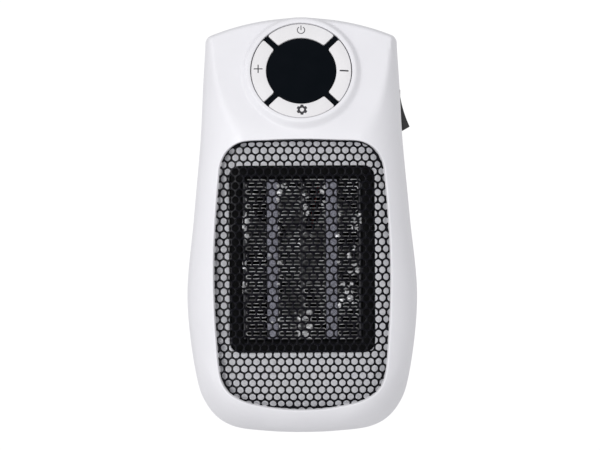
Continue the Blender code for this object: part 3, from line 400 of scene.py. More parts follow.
def wrapped(points, skin_y, edge_y, direction):
    """Flat points on a skin; those past the case's outline go round onto its side wall."""
    depth, place, _ = nearest_on(BODY_OUTLINE, points)
    plan = np.where((depth > 0)[:, None], points, place)
    y = np.where(depth > 0, skin_y(plan, np.maximum(depth, 0)), edge_y - direction * depth)
    return np.stack([plan[:, 0], y, plan[:, 1]], 1)


def front_surface(points):
    """The front shell's face, with the collar round the dial raised on it."""
    surface = wrapped(points, front_y, RIM_Y, 1)
    up = points[:, 1] - DIAL_CENTRE[2]
    radius = np.hypot(points[:, 0], up / math.cos(LEAN))
    lift = COLLAR_RISE * smooth_step((COLLAR_FOOT - radius) / (COLLAR_FOOT - COLLAR_LAND))
    flat = smooth_step((COLLAR_FOOT + FACE_MARGIN - radius) / FACE_BLEND)
    leaning_y = DIAL_CENTRE[1] + up * math.tan(LEAN)
    surface[:, 1] += flat * (leaning_y - surface[:, 1])
    return surface + OUTWARDS * lift[:, None]


def rear_surface(points):
    return wrapped(points, rear_y, REAR_EDGE_Y, -1)


def along_normals(surface, forwards, wall=None):
    """A placing function: flat points at a depth below a surface, measured along its normals.

    Past the outline of the wall, where the surface goes round onto it, the depth is level with the outline.
    """
    step = 0.02 * MM

    def place(points, depth):
        right = surface(points + (step, 0)) - surface(points - (step, 0))
        up = surface(points + (0, step)) - surface(points - (0, step))
        inwards = np.cross(up, right) if forwards else np.cross(right, up)
        if wall is not None:
            within, _, normal = nearest_on(wall, points)
            past = within < -step
            inwards[past] = np.stack([-normal[:, 0], np.zeros(len(points)), -normal[:, 1]], 1)[past]
        inwards /= np.linalg.norm(inwards, axis=1)[:, None]
        return surface(points) + inwards * depth[:, None]

    return place


def flat(origin, across, up, inwards):
    """A placing function for a flat piece: the origin of its face, and its three directions."""

    def place(points, depth):
        return origin + points[:, :1] * across + points[:, 1:] * up + inwards * depth[:, None]

    return place


def upright(face_y, turned_back=False):
    """Places a flat piece so that it faces -Y, or +Y if it is turned back."""
    return flat((0, face_y, 0), ACROSS, (0, 0, 1), (0, -1 if turned_back else 1, 0))


def sideways(face_x):
    """Places a flat piece of (y, z) points so that it faces +X."""
    return flat((face_x, 0, 0), (0, 1, 0), (0, 0, 1), (-1, 0, 0))


def on_dial(top):
    """Places a piece in the dial's plane, with its face at a height above it."""
    return flat(DIAL_CENTRE + OUTWARDS * top, ACROSS, UPWARDS, -OUTWARDS)


# ---- solids


def edge_profile(rounding, steps):
    """(inset, depth) pairs down a rounded edge, from next to the face to the side."""
    angles = np.linspace(0, math.pi / 2, steps + 1) if rounding else [math.pi / 2]
    return [(rounding * (1 - math.sin(angle)), rounding * (1 - math.cos(angle))) for angle in angles]


class Solid:
    """Vertices and faces gathered for one piece."""

    def __init__(self):
        self.points = []
        self.faces = []
        self.count = 0

    def add_points(self, points):
        self.points.append(np.asarray(points, float))
        self.count += len(points)
        return self.count - len(points)

    def bridge(self, first, second, count):
        """Faces between two closed rings of points, given the index that each starts at."""
        ring = np.arange(count)
        after = np.roll(ring, -1)
        self.faces += np.stack([first + ring, first + after, second + after, second + ring], 1).tolist()

    def sheet(self, outer, holes, place, thickness, rounding=0.0, back_rounding=0.0, grid=(), steps=3):
        """A sheet with openings and rounded edges. place gives the position of flat points at depths."""
        loops = [clockwise(loop) for loop in (outer, *holes)]
        signs = [-1] + [1] * len(holes)
        grid = np.array(grid).reshape(-1, 2)
        levels = edge_profile(rounding, steps)
        back_edge = reversed(edge_profile(back_rounding, steps))
        levels += [(inset, thickness - depth) for inset, depth in back_edge]
        rings = [[grown(loop, sign * inset) for loop, sign in zip(loops, signs)] for inset, _ in levels]
        total = sum(len(loop) for loop in loops)
        flat = np.concatenate([*(ring for level in rings for ring in level), grid, grid])
        depths = np.repeat([depth for _, depth in levels], total)
        depths = np.concatenate([depths, np.zeros(len(grid)), np.full(len(grid), thickness)])
        base = self.add_points(place(flat, depths))
        triangles = triangulated(rings[0], grid)
        edge, grid_start = triangles < total, (len(levels) - 1) * total
        front = np.where(edge, triangles, triangles + grid_start)
        back = np.where(edge, triangles + grid_start, triangles + grid_start + len(grid))
        self.faces += (base + front).tolist() + (base + back[:, ::-1]).tolist()
        for level in range(len(levels) - 1):
            start = base + level * total
            for loop in loops:
                self.bridge(start, start + total, len(loop))
                start += len(loop)
        return self

    def lathe(self, profile, centre, sides):
        """A closed profile of (radius, y) turned round an axis along Y through the centre."""
        angles = np.linspace(0, TURN, sides, endpoint=False)
        rings = []
        for radius, y in profile:
            ring = np.stack([radius * np.cos(angles), np.full(sides, y), radius * np.sin(angles)], 1)
            rings.append(self.add_points(ring + np.array(centre)))
        for first, second in zip(rings, rings[1:] + rings[:1]):
            self.bridge(first, second, sides)
        return self


def triangulated(loops, grid):
    """Triangles between the first loop and the others, which are its openings, through a grid of points."""
    points = np.concatenate([*loops, np.array(grid).reshape(-1, 2)])
    owner = np.full(len(points), -1)
    edges = []
    start = 0
    for index, loop in enumerate(loops):
        count = len(loop)
        owner[start : start + count] = index
        edges += [(start + k, start + (k + 1) % count) for k in range(count)]
        start += count
    scaled = [Vector(point) for point in points / MM]
    _, _, faces, origins, _, _ = delaunay_2d_cdt(scaled, edges, [], 0, 1e-6)
    first = np.array([origin[0] if origin else -1 for origin in origins])
    faces = first[np.array(faces)]
    faces = faces[(faces >= 0).all(axis=1)]
    owners = owner[faces]
    same = (owners[:, 0] == owners[:, 1]) & (owners[:, 1] == owners[:, 2]) & (owners[:, 0] >= 0)
    keep = np.ones(len(faces), bool)
    middles = points[faces].mean(axis=1)
    for index, loop in enumerate(loops):
        chosen = same & (owners[:, 0] == index)
        if chosen.any():
            depth = nearest_on(loop, middles[chosen])[0]
            keep[chosen] = depth > 0 if index == 0 else depth < 0
    return faces[keep]


def new_object(name, data):
    thing = bpy.data.objects.new(name, data)
    bpy.context.scene.collection.objects.link(thing)
    return thing


def add_mesh(name, mesh, finish, body="housing", stands_for=()):
    """Makes a piece of a mesh, hangs it on its body's empty, and hides the frame parts it stands for."""
    mesh.shade_smooth()
    mesh.materials.append(MATERIALS[finish])
    piece = new_object(name, mesh)
    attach(piece, body)
    if stands_for:
        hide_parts(*stands_for)


def add_piece(name, solid, finish, body="housing", stands_for=()):
    """Makes a piece of a solid, with sharp edges where its faces meet steeply."""
    mesh = bpy.data.meshes.new(name)
    mesh.from_pydata(np.concatenate(solid.points).tolist(), [], solid.faces)
    bm = bmesh.new()
    bm.from_mesh(mesh)
    bmesh.ops.remove_doubles(bm, verts=bm.verts, dist=WELD_DISTANCE)
    bmesh.ops.recalc_face_normals(bm, faces=bm.faces)
    bm.to_mesh(mesh)
    bm.free()
    add_mesh(name, mesh, finish, body, stands_for)
    mesh.set_sharp_from_angle(angle=SHARP_ANGLE)


# ---- materials


FINE_GRAIN = ((2600, 0.000012, EVEN),)
GLOSS_TO_MOTTLE = 3.7


class Shading:
    """The nodes of a material or the world, and the building blocks that they share."""

    def __init__(self, owner):
        owner.use_nodes = True
        self.owner = owner
        self.nodes, self.links = owner.node_tree.nodes, owner.node_tree.links

    def feed(self, node, **values):
        """Sets or links a node's inputs. A space in an input's name is written as _."""
        for name, value in values.items():
            socket = node.inputs[name.replace("_", " ")]
            if isinstance(value, bpy.types.NodeSocket):
                self.links.new(value, socket)
            else:
                socket.default_value = value
        return node

    def add(self, kind, **values):
        return self.feed(self.nodes.new(f"ShaderNode{kind}"), **values)

    def noise(self, scale, detail=3.0, stretch=EVEN):
        """Noise fixed to the piece, in bumps to the metre, stretched along the axes."""
        place = self.add("TexCoord").outputs["Object"]
        mapped = self.add("Mapping", Vector=place, Scale=stretch).outputs["Vector"]
        return self.add("TexNoise", Vector=mapped, Scale=scale, Detail=detail).outputs["Fac"]

    def ramp(self, value, stops):
        """Colours along a value: stops are (position, colour)."""
        colours = self.add("ValToRGB", Fac=value)
        elements = colours.color_ramp.elements
        while len(elements) < len(stops):
            elements.new(0.5)
        for element, (position, colour) in zip(elements, stops):
            element.position = position
            element.color = (*colour, 1.0)
        return colours.outputs["Color"]

    def ranged(self, value, low, high, start=0.3, end=0.7):
        """A value that goes from low to high while the given one goes from start to end."""
        span = self.add("MapRange", Value=value, From_Min=start, From_Max=end, To_Min=low, To_Max=high)
        return span.outputs["Result"]

    def surface(self, colour, rough, grain, **sockets):
        """Feeds the shader. The grain is bumps of (noise scale, height in metres, stretch)."""
        shader = self.nodes["Principled BSDF"]
        self.feed(shader, Base_Color=colour, Roughness=rough, **sockets)
        last = shader
        for scale, height, stretch in reversed(grain):
            bump = self.add("Bump", Strength=1.0, Distance=height, Height=self.noise(scale, 2.0, stretch))
            self.feed(last, Normal=bump.outputs["Normal"])
            last = bump
        return self.owner


def surface_material(
    name, dark, light, rough, mottle, grain=FINE_GRAIN, metallic=0.0, specular=0.5, stretch=EVEN
):
    """A moulded, painted or metal surface: slow colour and gloss variation, and a fine grain."""
    shading = Shading(bpy.data.materials.new(name))
    colour = shading.ramp(shading.noise(mottle, 4.0, stretch), [(0.3, dark), (0.7, light)])
    gloss = shading.ranged(shading.noise(mottle * GLOSS_TO_MOTTLE, 3.0, stretch), *rough)
    return shading.surface(colour, gloss, grain, Metallic=metallic, Specular_IOR_Level=specular)


def ceramic_material():
    """Fired ceramic: matte grey-blue with fine pale and dark specks."""
    shading = Shading(bpy.data.materials.new("ceramic_grey"))
    stops = [(0.36, (0.15, 0.15, 0.18)), (0.5, (0.29, 0.29, 0.35)), (0.64, (0.45, 0.45, 0.53))]
    specks = shading.ramp(shading.noise(1900, 5.0), stops)
    rough = shading.ranged(shading.noise(700), 0.55, 0.8)
    return shading.surface(specks, rough, [(2200, 0.00004, EVEN), (350, 0.00006, EVEN)])


def fin_material():
    """Thin aluminium, its colour darkened as painted shade inside the heater, with brighter noise spots that
    are painted glints.
    """
    shading = Shading(bpy.data.materials.new("fin_painted_shade_glints"))
    # Dark to bright stops: painted shade over most of the fins, painted glints at the bright end
    stops = [(0.36, (0.18, 0.177, 0.182)), (0.54, (0.48, 0.475, 0.48)), (0.63, (0.8, 0.8, 0.82))]
    painted_shade_and_glints = shading.ramp(shading.noise(95, 2.5, (1.4, 0.4, 1)), stops)
    rough = shading.ranged(shading.noise(500), 0.28, 0.5)
    grain = [(420, 0.00025, (1, 0.3, 1)), (2500, 0.00003, (1, 0.2, 1))]
    return shading.surface(painted_shade_and_glints, rough, grain, Metallic=0.9)


def board_material():
    """Green solder mask over copper tracks that show as slightly paler bands."""
    shading = Shading(bpy.data.materials.new("board_green"))
    bands = shading.add(
        "TexBrick", Vector=shading.add("TexCoord").outputs["Object"], Scale=260, Mortar_Size=0.03,
        Color1=(0.012, 0.13, 0.05, 1), Color2=(0.02, 0.17, 0.07, 1), Mortar=(0.05, 0.24, 0.1, 1),
    )
    rough = shading.ranged(shading.noise(300), 0.3, 0.5)
    return shading.surface(bands.outputs["Color"], rough, [(1500, 0.00002, EVEN)])


# Grains: layers of (noise scale, height in metres, stretch)
BRUSHED = ((900, 0.000012, (0.1, 1, 1)), (3500, 0.000006, (0.05, 1, 1)))
TURNED_MARKS = ((1400, 0.00001, (1, 0.1, 1)),)
MOULDED = ((2600, 0.00001, EVEN), (900, 0.000008, EVEN))
SHEET_METAL = ((1900, 0.000006, EVEN),)
GLOSS = ((160, 0.000012, EVEN),)
LUMPY = ((700, 0.0002, EVEN),)
FIBROUS = ((2200, 0.0002, EVEN), (700, 0.0003, EVEN))

# Name: (darker colour, lighter colour, roughness from and to, mottle in patches to the metre, grain,
# metallic, specular level, stretch)
FINISHES = {
    "case_white": ((0.79, 0.785, 0.815), (0.825, 0.82, 0.85), (0.36, 0.44), 35, MOULDED),
    "button_white": ((0.775, 0.765, 0.775), (0.81, 0.8, 0.812), (0.4, 0.5), 90, MOULDED),
    "icon_grey": ((0.025, 0.025, 0.028), (0.04, 0.038, 0.045), (0.5, 0.6), 800),
    "icon_pale": ((0.08, 0.078, 0.085), (0.11, 0.105, 0.115), (0.5, 0.6), 800),
    "grille_black": ((0.001, 0.001, 0.0025), (0.002, 0.0019, 0.005), (0.16, 0.24), 220, SHEET_METAL, 0, 0.1),
    "gloss_black": ((0.0012, 0.0026, 0.0045), (0.002, 0.0034, 0.0056), (0.045, 0.085), 120, GLOSS, 0, 0.05),
    # Paler than the case's white: painted light that brightens the recess behind the grille
    "baffle_painted_light": ((0.92, 0.92, 0.965), (0.95, 0.95, 0.99), (0.4, 0.5), 60, MOULDED),
    "frame_black": ((0.0012, 0.0012, 0.0016), (0.003, 0.003, 0.0035), (0.6, 0.75), 150, MOULDED, 0, 0.12),
    "switch_black": ((0.022, 0.022, 0.023), (0.032, 0.032, 0.033), (0.4, 0.5), 200, MOULDED),
    "plastic_black": ((0.014, 0.014, 0.015), (0.024, 0.024, 0.026), (0.42, 0.56), 150, MOULDED),
    "plastic_grey": ((0.2, 0.2, 0.21), (0.25, 0.25, 0.26), (0.42, 0.55), 120, MOULDED),
    "plastic_ivory": ((0.68, 0.65, 0.56), (0.75, 0.72, 0.64), (0.4, 0.52), 150, MOULDED),
    # Aluminium of the side plates and centre strip, darkened as painted shade inside the heater
    "aluminium_painted_shade": ((0.05, 0.05, 0.055), (0.12, 0.12, 0.13), (0.4, 0.55), 300, BRUSHED, 0.8),
    "aluminium": ((0.5, 0.5, 0.52), (0.78, 0.78, 0.8), (0.25, 0.42), 300, BRUSHED, 1, 0.5, (1, 1, 0.15)),
    # Bright silver of the lumps on the heater: painted glints
    "glint_silver": ((0.7, 0.7, 0.72), (0.97, 0.97, 0.98), (0.25, 0.4), 500, LUMPY, 0.75),
    # Near-black fibrous disc behind the fan: painted shade seen through the heater
    "shade_felt": ((0.006, 0.006, 0.007), (0.016, 0.016, 0.017), (0.9, 1.0), 900, FIBROUS, 0, 0.2),
    "steel": ((0.42, 0.42, 0.44), (0.6, 0.6, 0.62), (0.24, 0.4), 260, TURNED_MARKS, 1),
    "nickel": ((0.6, 0.58, 0.54), (0.74, 0.72, 0.68), (0.16, 0.28), 200, TURNED_MARKS, 1),
    "brass": ((0.6, 0.42, 0.17), (0.78, 0.58, 0.27), (0.25, 0.4), 300, BRUSHED, 1),
    "lead_insulation": ((0.36, 0.02, 0.016), (0.5, 0.035, 0.025), (0.45, 0.6), 400, MOULDED),
}
MATERIALS = {name: surface_material(name, *values) for name, values in FINISHES.items()}
MATERIALS |= {"ceramic_grey": ceramic_material(), "fins": fin_material(), "board_green": board_material()}


# ---- case


def dial_circle(radius, sides):
    """A circle in the dial's plane, as flat points of the front skin."""
    return circle(radius, sides) * (1, math.cos(LEAN)) + (0, DIAL_CENTRE[2])


def make_front_shell():
    opening = dial_circle(WELL_RADIUS, 120)
    rings = [grown(BODY_OUTLINE, offset * MM) for offset in [*RIM_OFFSETS, 4.0, 8.0]]
    rings = [outside([opening], np.concatenate(rings), HOLE_CLEARANCE)]
    rings += [dial_circle(radius, 132) for radius in COLLAR_RINGS]
    rings.append(grown(WINDOW_OUTLINE, 1.0 * MM))
    inner = grown(BODY_OUTLINE, -3.3 * MM)
    around = [grown(WINDOW_OUTLINE, 1.2 * MM), dial_circle(29.0 * MM, 60)]
    rings.append(grid_inside(inner, around, 0.85 * MM, 0.5 * MM))
    outer = grown(BODY_OUTLINE, PARTING_Y - GAP - RIM_Y)
    place = along_normals(front_surface, True, BODY_OUTLINE)
    grid = np.concatenate(rings)
    shell = Solid().sheet(outer, [WINDOW_OUTLINE, opening], place, WALL, PARTING_ROUNDING, grid=grid)
    add_piece("front_shell_skin", shell, "case_white", stands_for=["front_shell"])


def on_flank(loop):
    """Flat points of the rear skin for a loop of (y, z) points on the right side wall."""
    y, z = loop.T
    _, place, normal = nearest_on(BODY_OUTLINE, np.stack([half_width(z), z], 1))
    return place + normal * (REAR_EDGE_Y - y)[:, None]


def intake_slots():
    """Rows of slots in two columns, inside a circle behind the fan."""
    pitch, reach, rib = 5.4 * MM, 34.0 * MM, 2.0 * MM
    width, rounding = 2.8 * MM, 1.35 * MM
    slots = []
    for row in range(-5, 6):
        length = math.sqrt(reach**2 - (row * pitch) ** 2) - rib
        for side in (-1, 1):
            centre = (side * (rib + length / 2), HEATER_Z + row * pitch)
            slots.append(spaced(rounded_rectangle(length, width, rounding, centre, 4), 0.8 * MM))
    return slots


def screw_places():
    names = [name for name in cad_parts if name.startswith("case_screw")]
    return {name: sum(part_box(name), Vector()) / 2 for name in names}


def make_rear_shell():
    switch_low, switch_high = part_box("switch_housing")
    window = (15.2 * MM, 22.6 * MM)
    middle = ((switch_low.y + switch_high.y) / 2, (switch_low.z + switch_high.z) / 2)
    screws = [(place.x, place.z) for place in screw_places().values()]
    bore, tube, pilot, plug_hole = 3.1 * MM, 4.3 * MM, 1.8 * MM, 19.5 * MM
    holes = [circle(plug_hole, 96), on_flank(spaced(rounded_rectangle(*window, 1.2 * MM, middle), 0.8 * MM))]
    holes += [circle(bore, 32, place) for place in screws] + intake_slots()
    offsets = [-12.5, -11, -9, -7.2, -5.6, -4.2, *RIM_OFFSETS, 6, 13, 20]
    rings = [grown(BODY_OUTLINE, offset * MM) for offset in offsets]
    rings.append(grid_inside(grown(BODY_OUTLINE, -13 * MM), holes, 2.0 * MM, 0.8 * MM))
    grid = outside(holes, np.concatenate(rings), HOLE_CLEARANCE)
    outer = grown(BODY_OUTLINE, REAR_EDGE_Y - PARTING_Y)
    place = along_normals(rear_surface, False, BODY_OUTLINE)
    shell = Solid().sheet(outer, holes, place, WALL, PARTING_ROUNDING, grid=grid)
    mouth, seat, foot = -17.6 * MM, -42.0 * MM, -56.0 * MM
    profile = [(bore, seat), (bore, mouth), (tube, mouth), (tube, foot), (pilot, foot), (pilot, seat)]
    for x, z in screws:
        shell.lathe(profile, (x, 0, z), 32)
    add_piece("rear_shell_skin", shell, "case_white", stands_for=["rear_shell"])


def make_screws():
    """Pan heads with a cross recess, deep in the rear shell's tubes."""
    arm, half = 1.6983 * MM, 0.31968 * MM
    quarter = [(half, half), (arm, half), (arm, -half)]
    cross = []
    for turn in range(4):
        cos, sin = math.cos(-turn * math.pi / 2), math.sin(-turn * math.pi / 2)
        cross += [(x * cos - z * sin, x * sin + z * cos) for x, z in quarter]
    for name, place in screw_places().items():
        low, high = (corner.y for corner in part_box(name))
        centre = np.array((place.x, place.z))
        recess = clockwise(np.array(cross)) + centre
        screw = Solid().sheet(circle(2.65 * MM, 40, centre), [recess], upright(high, True), 1.1 * MM)
        head, shank = 2.7 * MM, 1.4 * MM
        under, back = high - 1.15 * MM, high - 2.0 * MM
        profile = [(AXIS_GAP, under), (head, under), (head, back), (shank, back)]
        profile += [(shank, low + 1.2 * MM), (AXIS_GAP, low)]
        screw.lathe(profile, (place.x, 0, place.z), 40)
        add_piece(f"{name}_detail", screw, "steel", stands_for=[name])


# ---- outlet


ROLL_LENGTH = ROLL_RADIUS * ROLL_ANGLE + SKIRT
GRILLE_FLAT = grown(WINDOW_OUTLINE, ROLL_LENGTH - ROLL_RADIUS * math.sin(ROLL_ANGLE) - 0.2 * MM)


def grille_surface(points):
    """The perforated sheet's face: below the front skin, with its border rolled back into a skirt."""
    depth, place, normal = nearest_on(GRILLE_FLAT, points)
    along = np.maximum(ROLL_LENGTH - depth, 0)
    angle = np.minimum(along / ROLL_RADIUS, ROLL_ANGLE)
    rolled = place - normal * (ROLL_LENGTH - ROLL_RADIUS * np.sin(angle))[:, None]
    plan = np.where((along > 0)[:, None], rolled, points)
    drop = ROLL_RADIUS * (1 - np.cos(angle)) + np.maximum(along - ROLL_RADIUS * ROLL_ANGLE, 0)
    y = front_y(plan, EDGE_FILLET) + GRILLE_RECESS
    return np.stack([plan[:, 0], y + drop, plan[:, 1]], 1)


def grille_holes():
    """Rounded hexagons in staggered rows, as far as the sheet's edge leaves room."""
    corners = circle(HOLE_WIDTH / math.sqrt(3), 6)[:, ::-1]
    hexagon = clockwise(rounded_corners(corners, HOLE_CORNER, 2))
    places = [(column + (row % 2) / 2, row) for row in HOLE_ROWS for column in HOLE_COLUMNS]
    centres = np.array(places) * (HOLE_PITCH, ROW_PITCH) + FIRST_HOLE
    clear = nearest_on(GRILLE_FLAT, centres)[0] > HOLE_WIDTH / 2 + HOLE_MARGIN
    return [hexagon + centre for centre in centres[clear]]


def make_grille():
    place = along_normals(grille_surface, True)
    sheet = Solid().sheet(GRILLE_FLAT, grille_holes(), place, SHEET_GAUGE, SHEET_ROUNDING)
    add_piece("grille_sheet", sheet, "grille_black", stands_for=["front_grille"])


def make_baffle():
    """The white panel behind the grille, with a wall that rises to the back of the front shell; it is paler
    than the case, as painted light in the recess.
    """
    floor_y = FRAME_LOW.y
    size = [side + 2 * GAP for side in FRAME_SIZE]
    window = spaced(rounded_rectangle(*size, FRAME_CORNER + GAP, (0, HEATER_Z)), 1.5 * MM)
    outer, inner = grown(WINDOW_OUTLINE, 1.4 * MM), grown(WINDOW_OUTLINE, 0.1 * MM)
    panel = Solid().sheet(outer, [window], upright(floor_y), 1.6 * MM, 0.3 * MM)
    rise_y = front_y(WINDOW_OUTLINE, EDGE_FILLET) + WALL + 0.4 * MM
    level = np.full(len(outer), floor_y + 0.5 * MM)
    rings = [(outer, level), (outer, rise_y), (inner, rise_y), (inner, level)]
    starts = [panel.add_points(np.stack([loop[:, 0], y, loop[:, 1]], 1)) for loop, y in rings]
    for first, second in zip(starts, starts[1:] + starts[:1]):
        panel.bridge(first, second, len(outer))
    add_piece("baffle_panel", panel, "baffle_painted_light", stands_for=["outlet_baffle"])


# ---- heater


def make_heater():
    depth = FRAME_HIGH.y - FRAME_LOW.y
    rim = spaced(rounded_rectangle(*FRAME_SIZE, FRAME_CORNER, (0, HEATER_Z), 8), 1.5 * MM)
    opening = spaced(rounded_rectangle(*CORE_SIZE, 0.8 * MM, (0, HEATER_Z)), 2 * MM)
    surround = Solid().sheet(rim, [opening], upright(FRAME_LOW.y), depth, 1.1 * MM, 0.5 * MM)
    add_piece("heater_surround", surround, "frame_black", stands_for=["heater_frame"])
    for name in ("heating_bar_left", "heating_bar_right"):
        make_heater_block(name, "ceramic_grey", 0.35 * MM)
    # The centre strip and side plates take aluminium darkened as painted shade
    for name in ("centre_strip", "side_plate_left", "side_plate_right"):
        make_heater_block(name, "aluminium_painted_shade", 0.12 * MM)
    for index, name in enumerate(sorted(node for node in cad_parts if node.startswith("fin_pack"))):
        make_fins(name, index)


def make_heater_block(name, finish, rounding):
    """A long block of the heater core, with eased edges."""
    low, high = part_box(name)
    centre = ((low.x + high.x) / 2, (low.z + high.z) / 2)
    outline = rounded_rectangle(high.x - low.x, high.z - low.z, rounding, centre, 3)
    block = Solid().sheet(outline, [], upright(low.y), high.y - low.y, rounding * 0.9, rounding * 0.9)
    add_piece(f"{name}_body", block, finish, stands_for=[name])


def make_fins(name, seed):
    """A folded strip: level walls, slightly wavy, joined by round turns at alternate ends."""
    chance = random.Random(seed)
    low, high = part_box(name)
    pitch = (high.z - low.z - FIN_GAUGE) / (FIN_WALLS - 1)
    turn = pitch / 2
    left, right = low.x + FIN_GAUGE / 2 + turn, high.x - FIN_GAUGE / 2 - turn
    route = []
    for wall in range(FIN_WALLS):
        z = low.z + FIN_GAUGE / 2 + wall * pitch
        first, last = (left, right) if wall % 2 == 0 else (right, left)
        for share in np.linspace(0, 1, 5):
            sag = chance.uniform(-0.09, 0.09) * MM if 0 < share < 1 else 0
            route.append((first + (last - first) * share, z + sag))
        if wall < FIN_WALLS - 1:
            side = 1 if last == right else -1
            bend = arc((last, z + turn), turn, -math.pi / 2, math.pi / 2, 8)[1:-1]
            route += [(last + side * (x - last), up) for x, up in bend]
    route = np.array(route)
    along = np.gradient(route, axis=0)
    along /= np.linalg.norm(along, axis=1)[:, None]
    side = np.stack([-along[:, 1], along[:, 0]], 1) * FIN_GAUGE / 2
    outline = np.concatenate([route + side, (route - side)[::-1]])
    fins = Solid().sheet(outline, [], upright(low.y), high.y - low.y)
    add_piece(f"{name}_folds", fins, "fins", stands_for=[name])


def make_glint_lumps():
    """Silvery lumps, shaped like glue squeezed out between the plates, bars and fins, set there as painted
    glints.
    """
    chance = random.Random(5)
    bm = bmesh.new()
    for name, side, share, spread, across, count, largest in GLINT_LUMP_CLUSTERS:
        low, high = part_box(name)
        edge = high.x if side > 0 else low.x
        for _ in range(count):
            lump = bmesh.ops.create_icosphere(bm, subdivisions=3, radius=1.0)["verts"]
            height = share + chance.uniform(-spread, spread)
            out = side * chance.uniform(0.1, 1.0) * across * MM
            place = Vector((edge + out, low.y + 0.1 * MM, low.z + (high.z - low.z) * height))
            radius = chance.uniform(0.7, 1.35) * largest * MM
            size = Vector((radius, 0.5 * radius, radius * chance.uniform(0.6, 0.9)))
            wave = [chance.uniform(0, TURN) for _ in range(3)]
            for vertex in lump:
                point = vertex.co
                swell = 1 + 0.22 * math.sin(4.1 * point.x + wave[0]) + 0.2 * math.sin(5.3 * point.z + wave[1])
                swell += 0.12 * math.sin(9 * point.x + 8 * point.z + wave[2])
                vertex.co = Vector(a * b for a, b in zip(point * swell, size)) + place
    mesh = bpy.data.meshes.new("glint_lumps")
    bm.to_mesh(mesh)
    bm.free()
    add_mesh("glint_lumps", mesh, "glint_silver")


# ---- dial


def eased(start, corner, end):
    """Points on a curve from the start to the end, drawn towards the corner."""
    shares = np.linspace(0, 1, 6)
    return [start * (1 - s) ** 2 + corner * 2 * s * (1 - s) + end * s**2 for s in shares]


def lens_outline():
    """A disc with four diagonal arms that reach the dial's edge, eased where they meet it."""
    half, ease = ARM_HALF_WIDTH, 0.9 * MM
    root = math.asin((half + ease) / LENS_RADIUS)
    tip = math.asin(half / DIAL_RADIUS)
    points = []
    for arm in range(4):
        angle = math.radians(45) - arm * TURN / 4
        direction = np.array((math.cos(angle), math.sin(angle)))
        across = np.array((-direction[1], direction[0]))
        start = LENS_RADIUS * np.array((math.cos(angle + root), math.sin(angle + root)))
        corner = direction * (LENS_RADIUS * math.cos(root) + 0.1 * MM) + across * half
        curve = eased(start, corner, direction * (LENS_RADIUS + ease) + across * half)
        points += [*curve, *arc((0, 0), DIAL_RADIUS, angle + tip, angle - tip, 4)]
        points += [2 * direction * (point @ direction) - point for point in curve[::-1]]
        points += list(arc((0, 0), LENS_RADIUS, angle - root, angle - TURN / 4 + root, 24)[1:-1])
    return np.array(points)


def button_outline(angle):
    """A sector of the ring round the lens, parallel to the arms on both sides, with rounded corners."""
    clear = ARM_HALF_WIDTH + GAP
    inner = LENS_RADIUS + GAP
    quarter = math.radians(45)
    outer_span = quarter - math.asin(clear / DIAL_RADIUS)
    inner_span = quarter - math.asin(clear / inner)
    outer = arc((0, 0), DIAL_RADIUS, angle + outer_span, angle - outer_span, 120)
    inner = arc((0, 0), inner, angle - inner_span, angle + inner_span, 90)
    return spaced(rounded_sector(outer, inner), 0.7 * MM)


def rounded_sector(outer, inner):
    """The sector through two arcs, as a closed outline whose four corners are eased."""

    def clear_of(point, line):
        return np.linalg.norm(line - point, axis=1) > 0.75 * MM

    ends = [np.linspace(outer[-1], inner[0], 60), np.linspace(inner[-1], outer[0], 60)]
    sides = [outer, ends[0], inner, ends[1]]
    points = []
    for side, following in zip(sides, sides[1:] + sides[:1]):
        corner = side[-1]
        kept = side[clear_of(side[0], side) & clear_of(corner, side)]
        end = following[clear_of(corner, following)][0]
        points += [*kept, *eased(kept[-1], corner, end)]
    return np.array(points)


def make_dial():
    lens = Solid().sheet(spaced(lens_outline(), 0.35 * MM), [], on_dial(LENS_TOP), LENS_THICKNESS, 0.28 * MM)
    add_piece("display_glass", lens, "gloss_black", stands_for=["display_lens"])
    angles = {"power_button": 90, "plus_button": 180, "settings_button": 270, "minus_button": 0}
    for name, degrees in angles.items():
        angle = math.radians(degrees)
        cap = Solid().sheet(button_outline(angle), [], on_dial(BUTTON_TOP), BUTTON_THICKNESS, 0.4 * MM)
        centre = BUTTON_ORBIT * np.array((math.cos(angle), math.sin(angle)))
        stem_top = BUTTON_TOP - BUTTON_THICKNESS + 0.5 * MM
        cap.sheet(circle(1.5 * MM, 24, centre), [], on_dial(stem_top), 3.1 * MM)
        add_piece(f"{name}_cap", cap, "button_white", name, [name])
    make_icons()


def stroke(points, width):
    """The outline of a stroke of one width along a line, with round ends."""
    points = np.array(points, float)
    along = np.gradient(points, axis=0)
    along /= np.linalg.norm(along, axis=1)[:, None]
    side = np.stack([-along[:, 1], along[:, 0]], 1) * width / 2
    start, end = math.atan2(*side[0][::-1]), math.atan2(*side[-1][::-1])
    head = arc(points[0], width / 2, start + math.pi, start, 6)[1:-1]
    tail = arc(points[-1], width / 2, end, end - math.pi, 6)[1:-1]
    return np.concatenate([head, points + side, tail, (points - side)[::-1]])


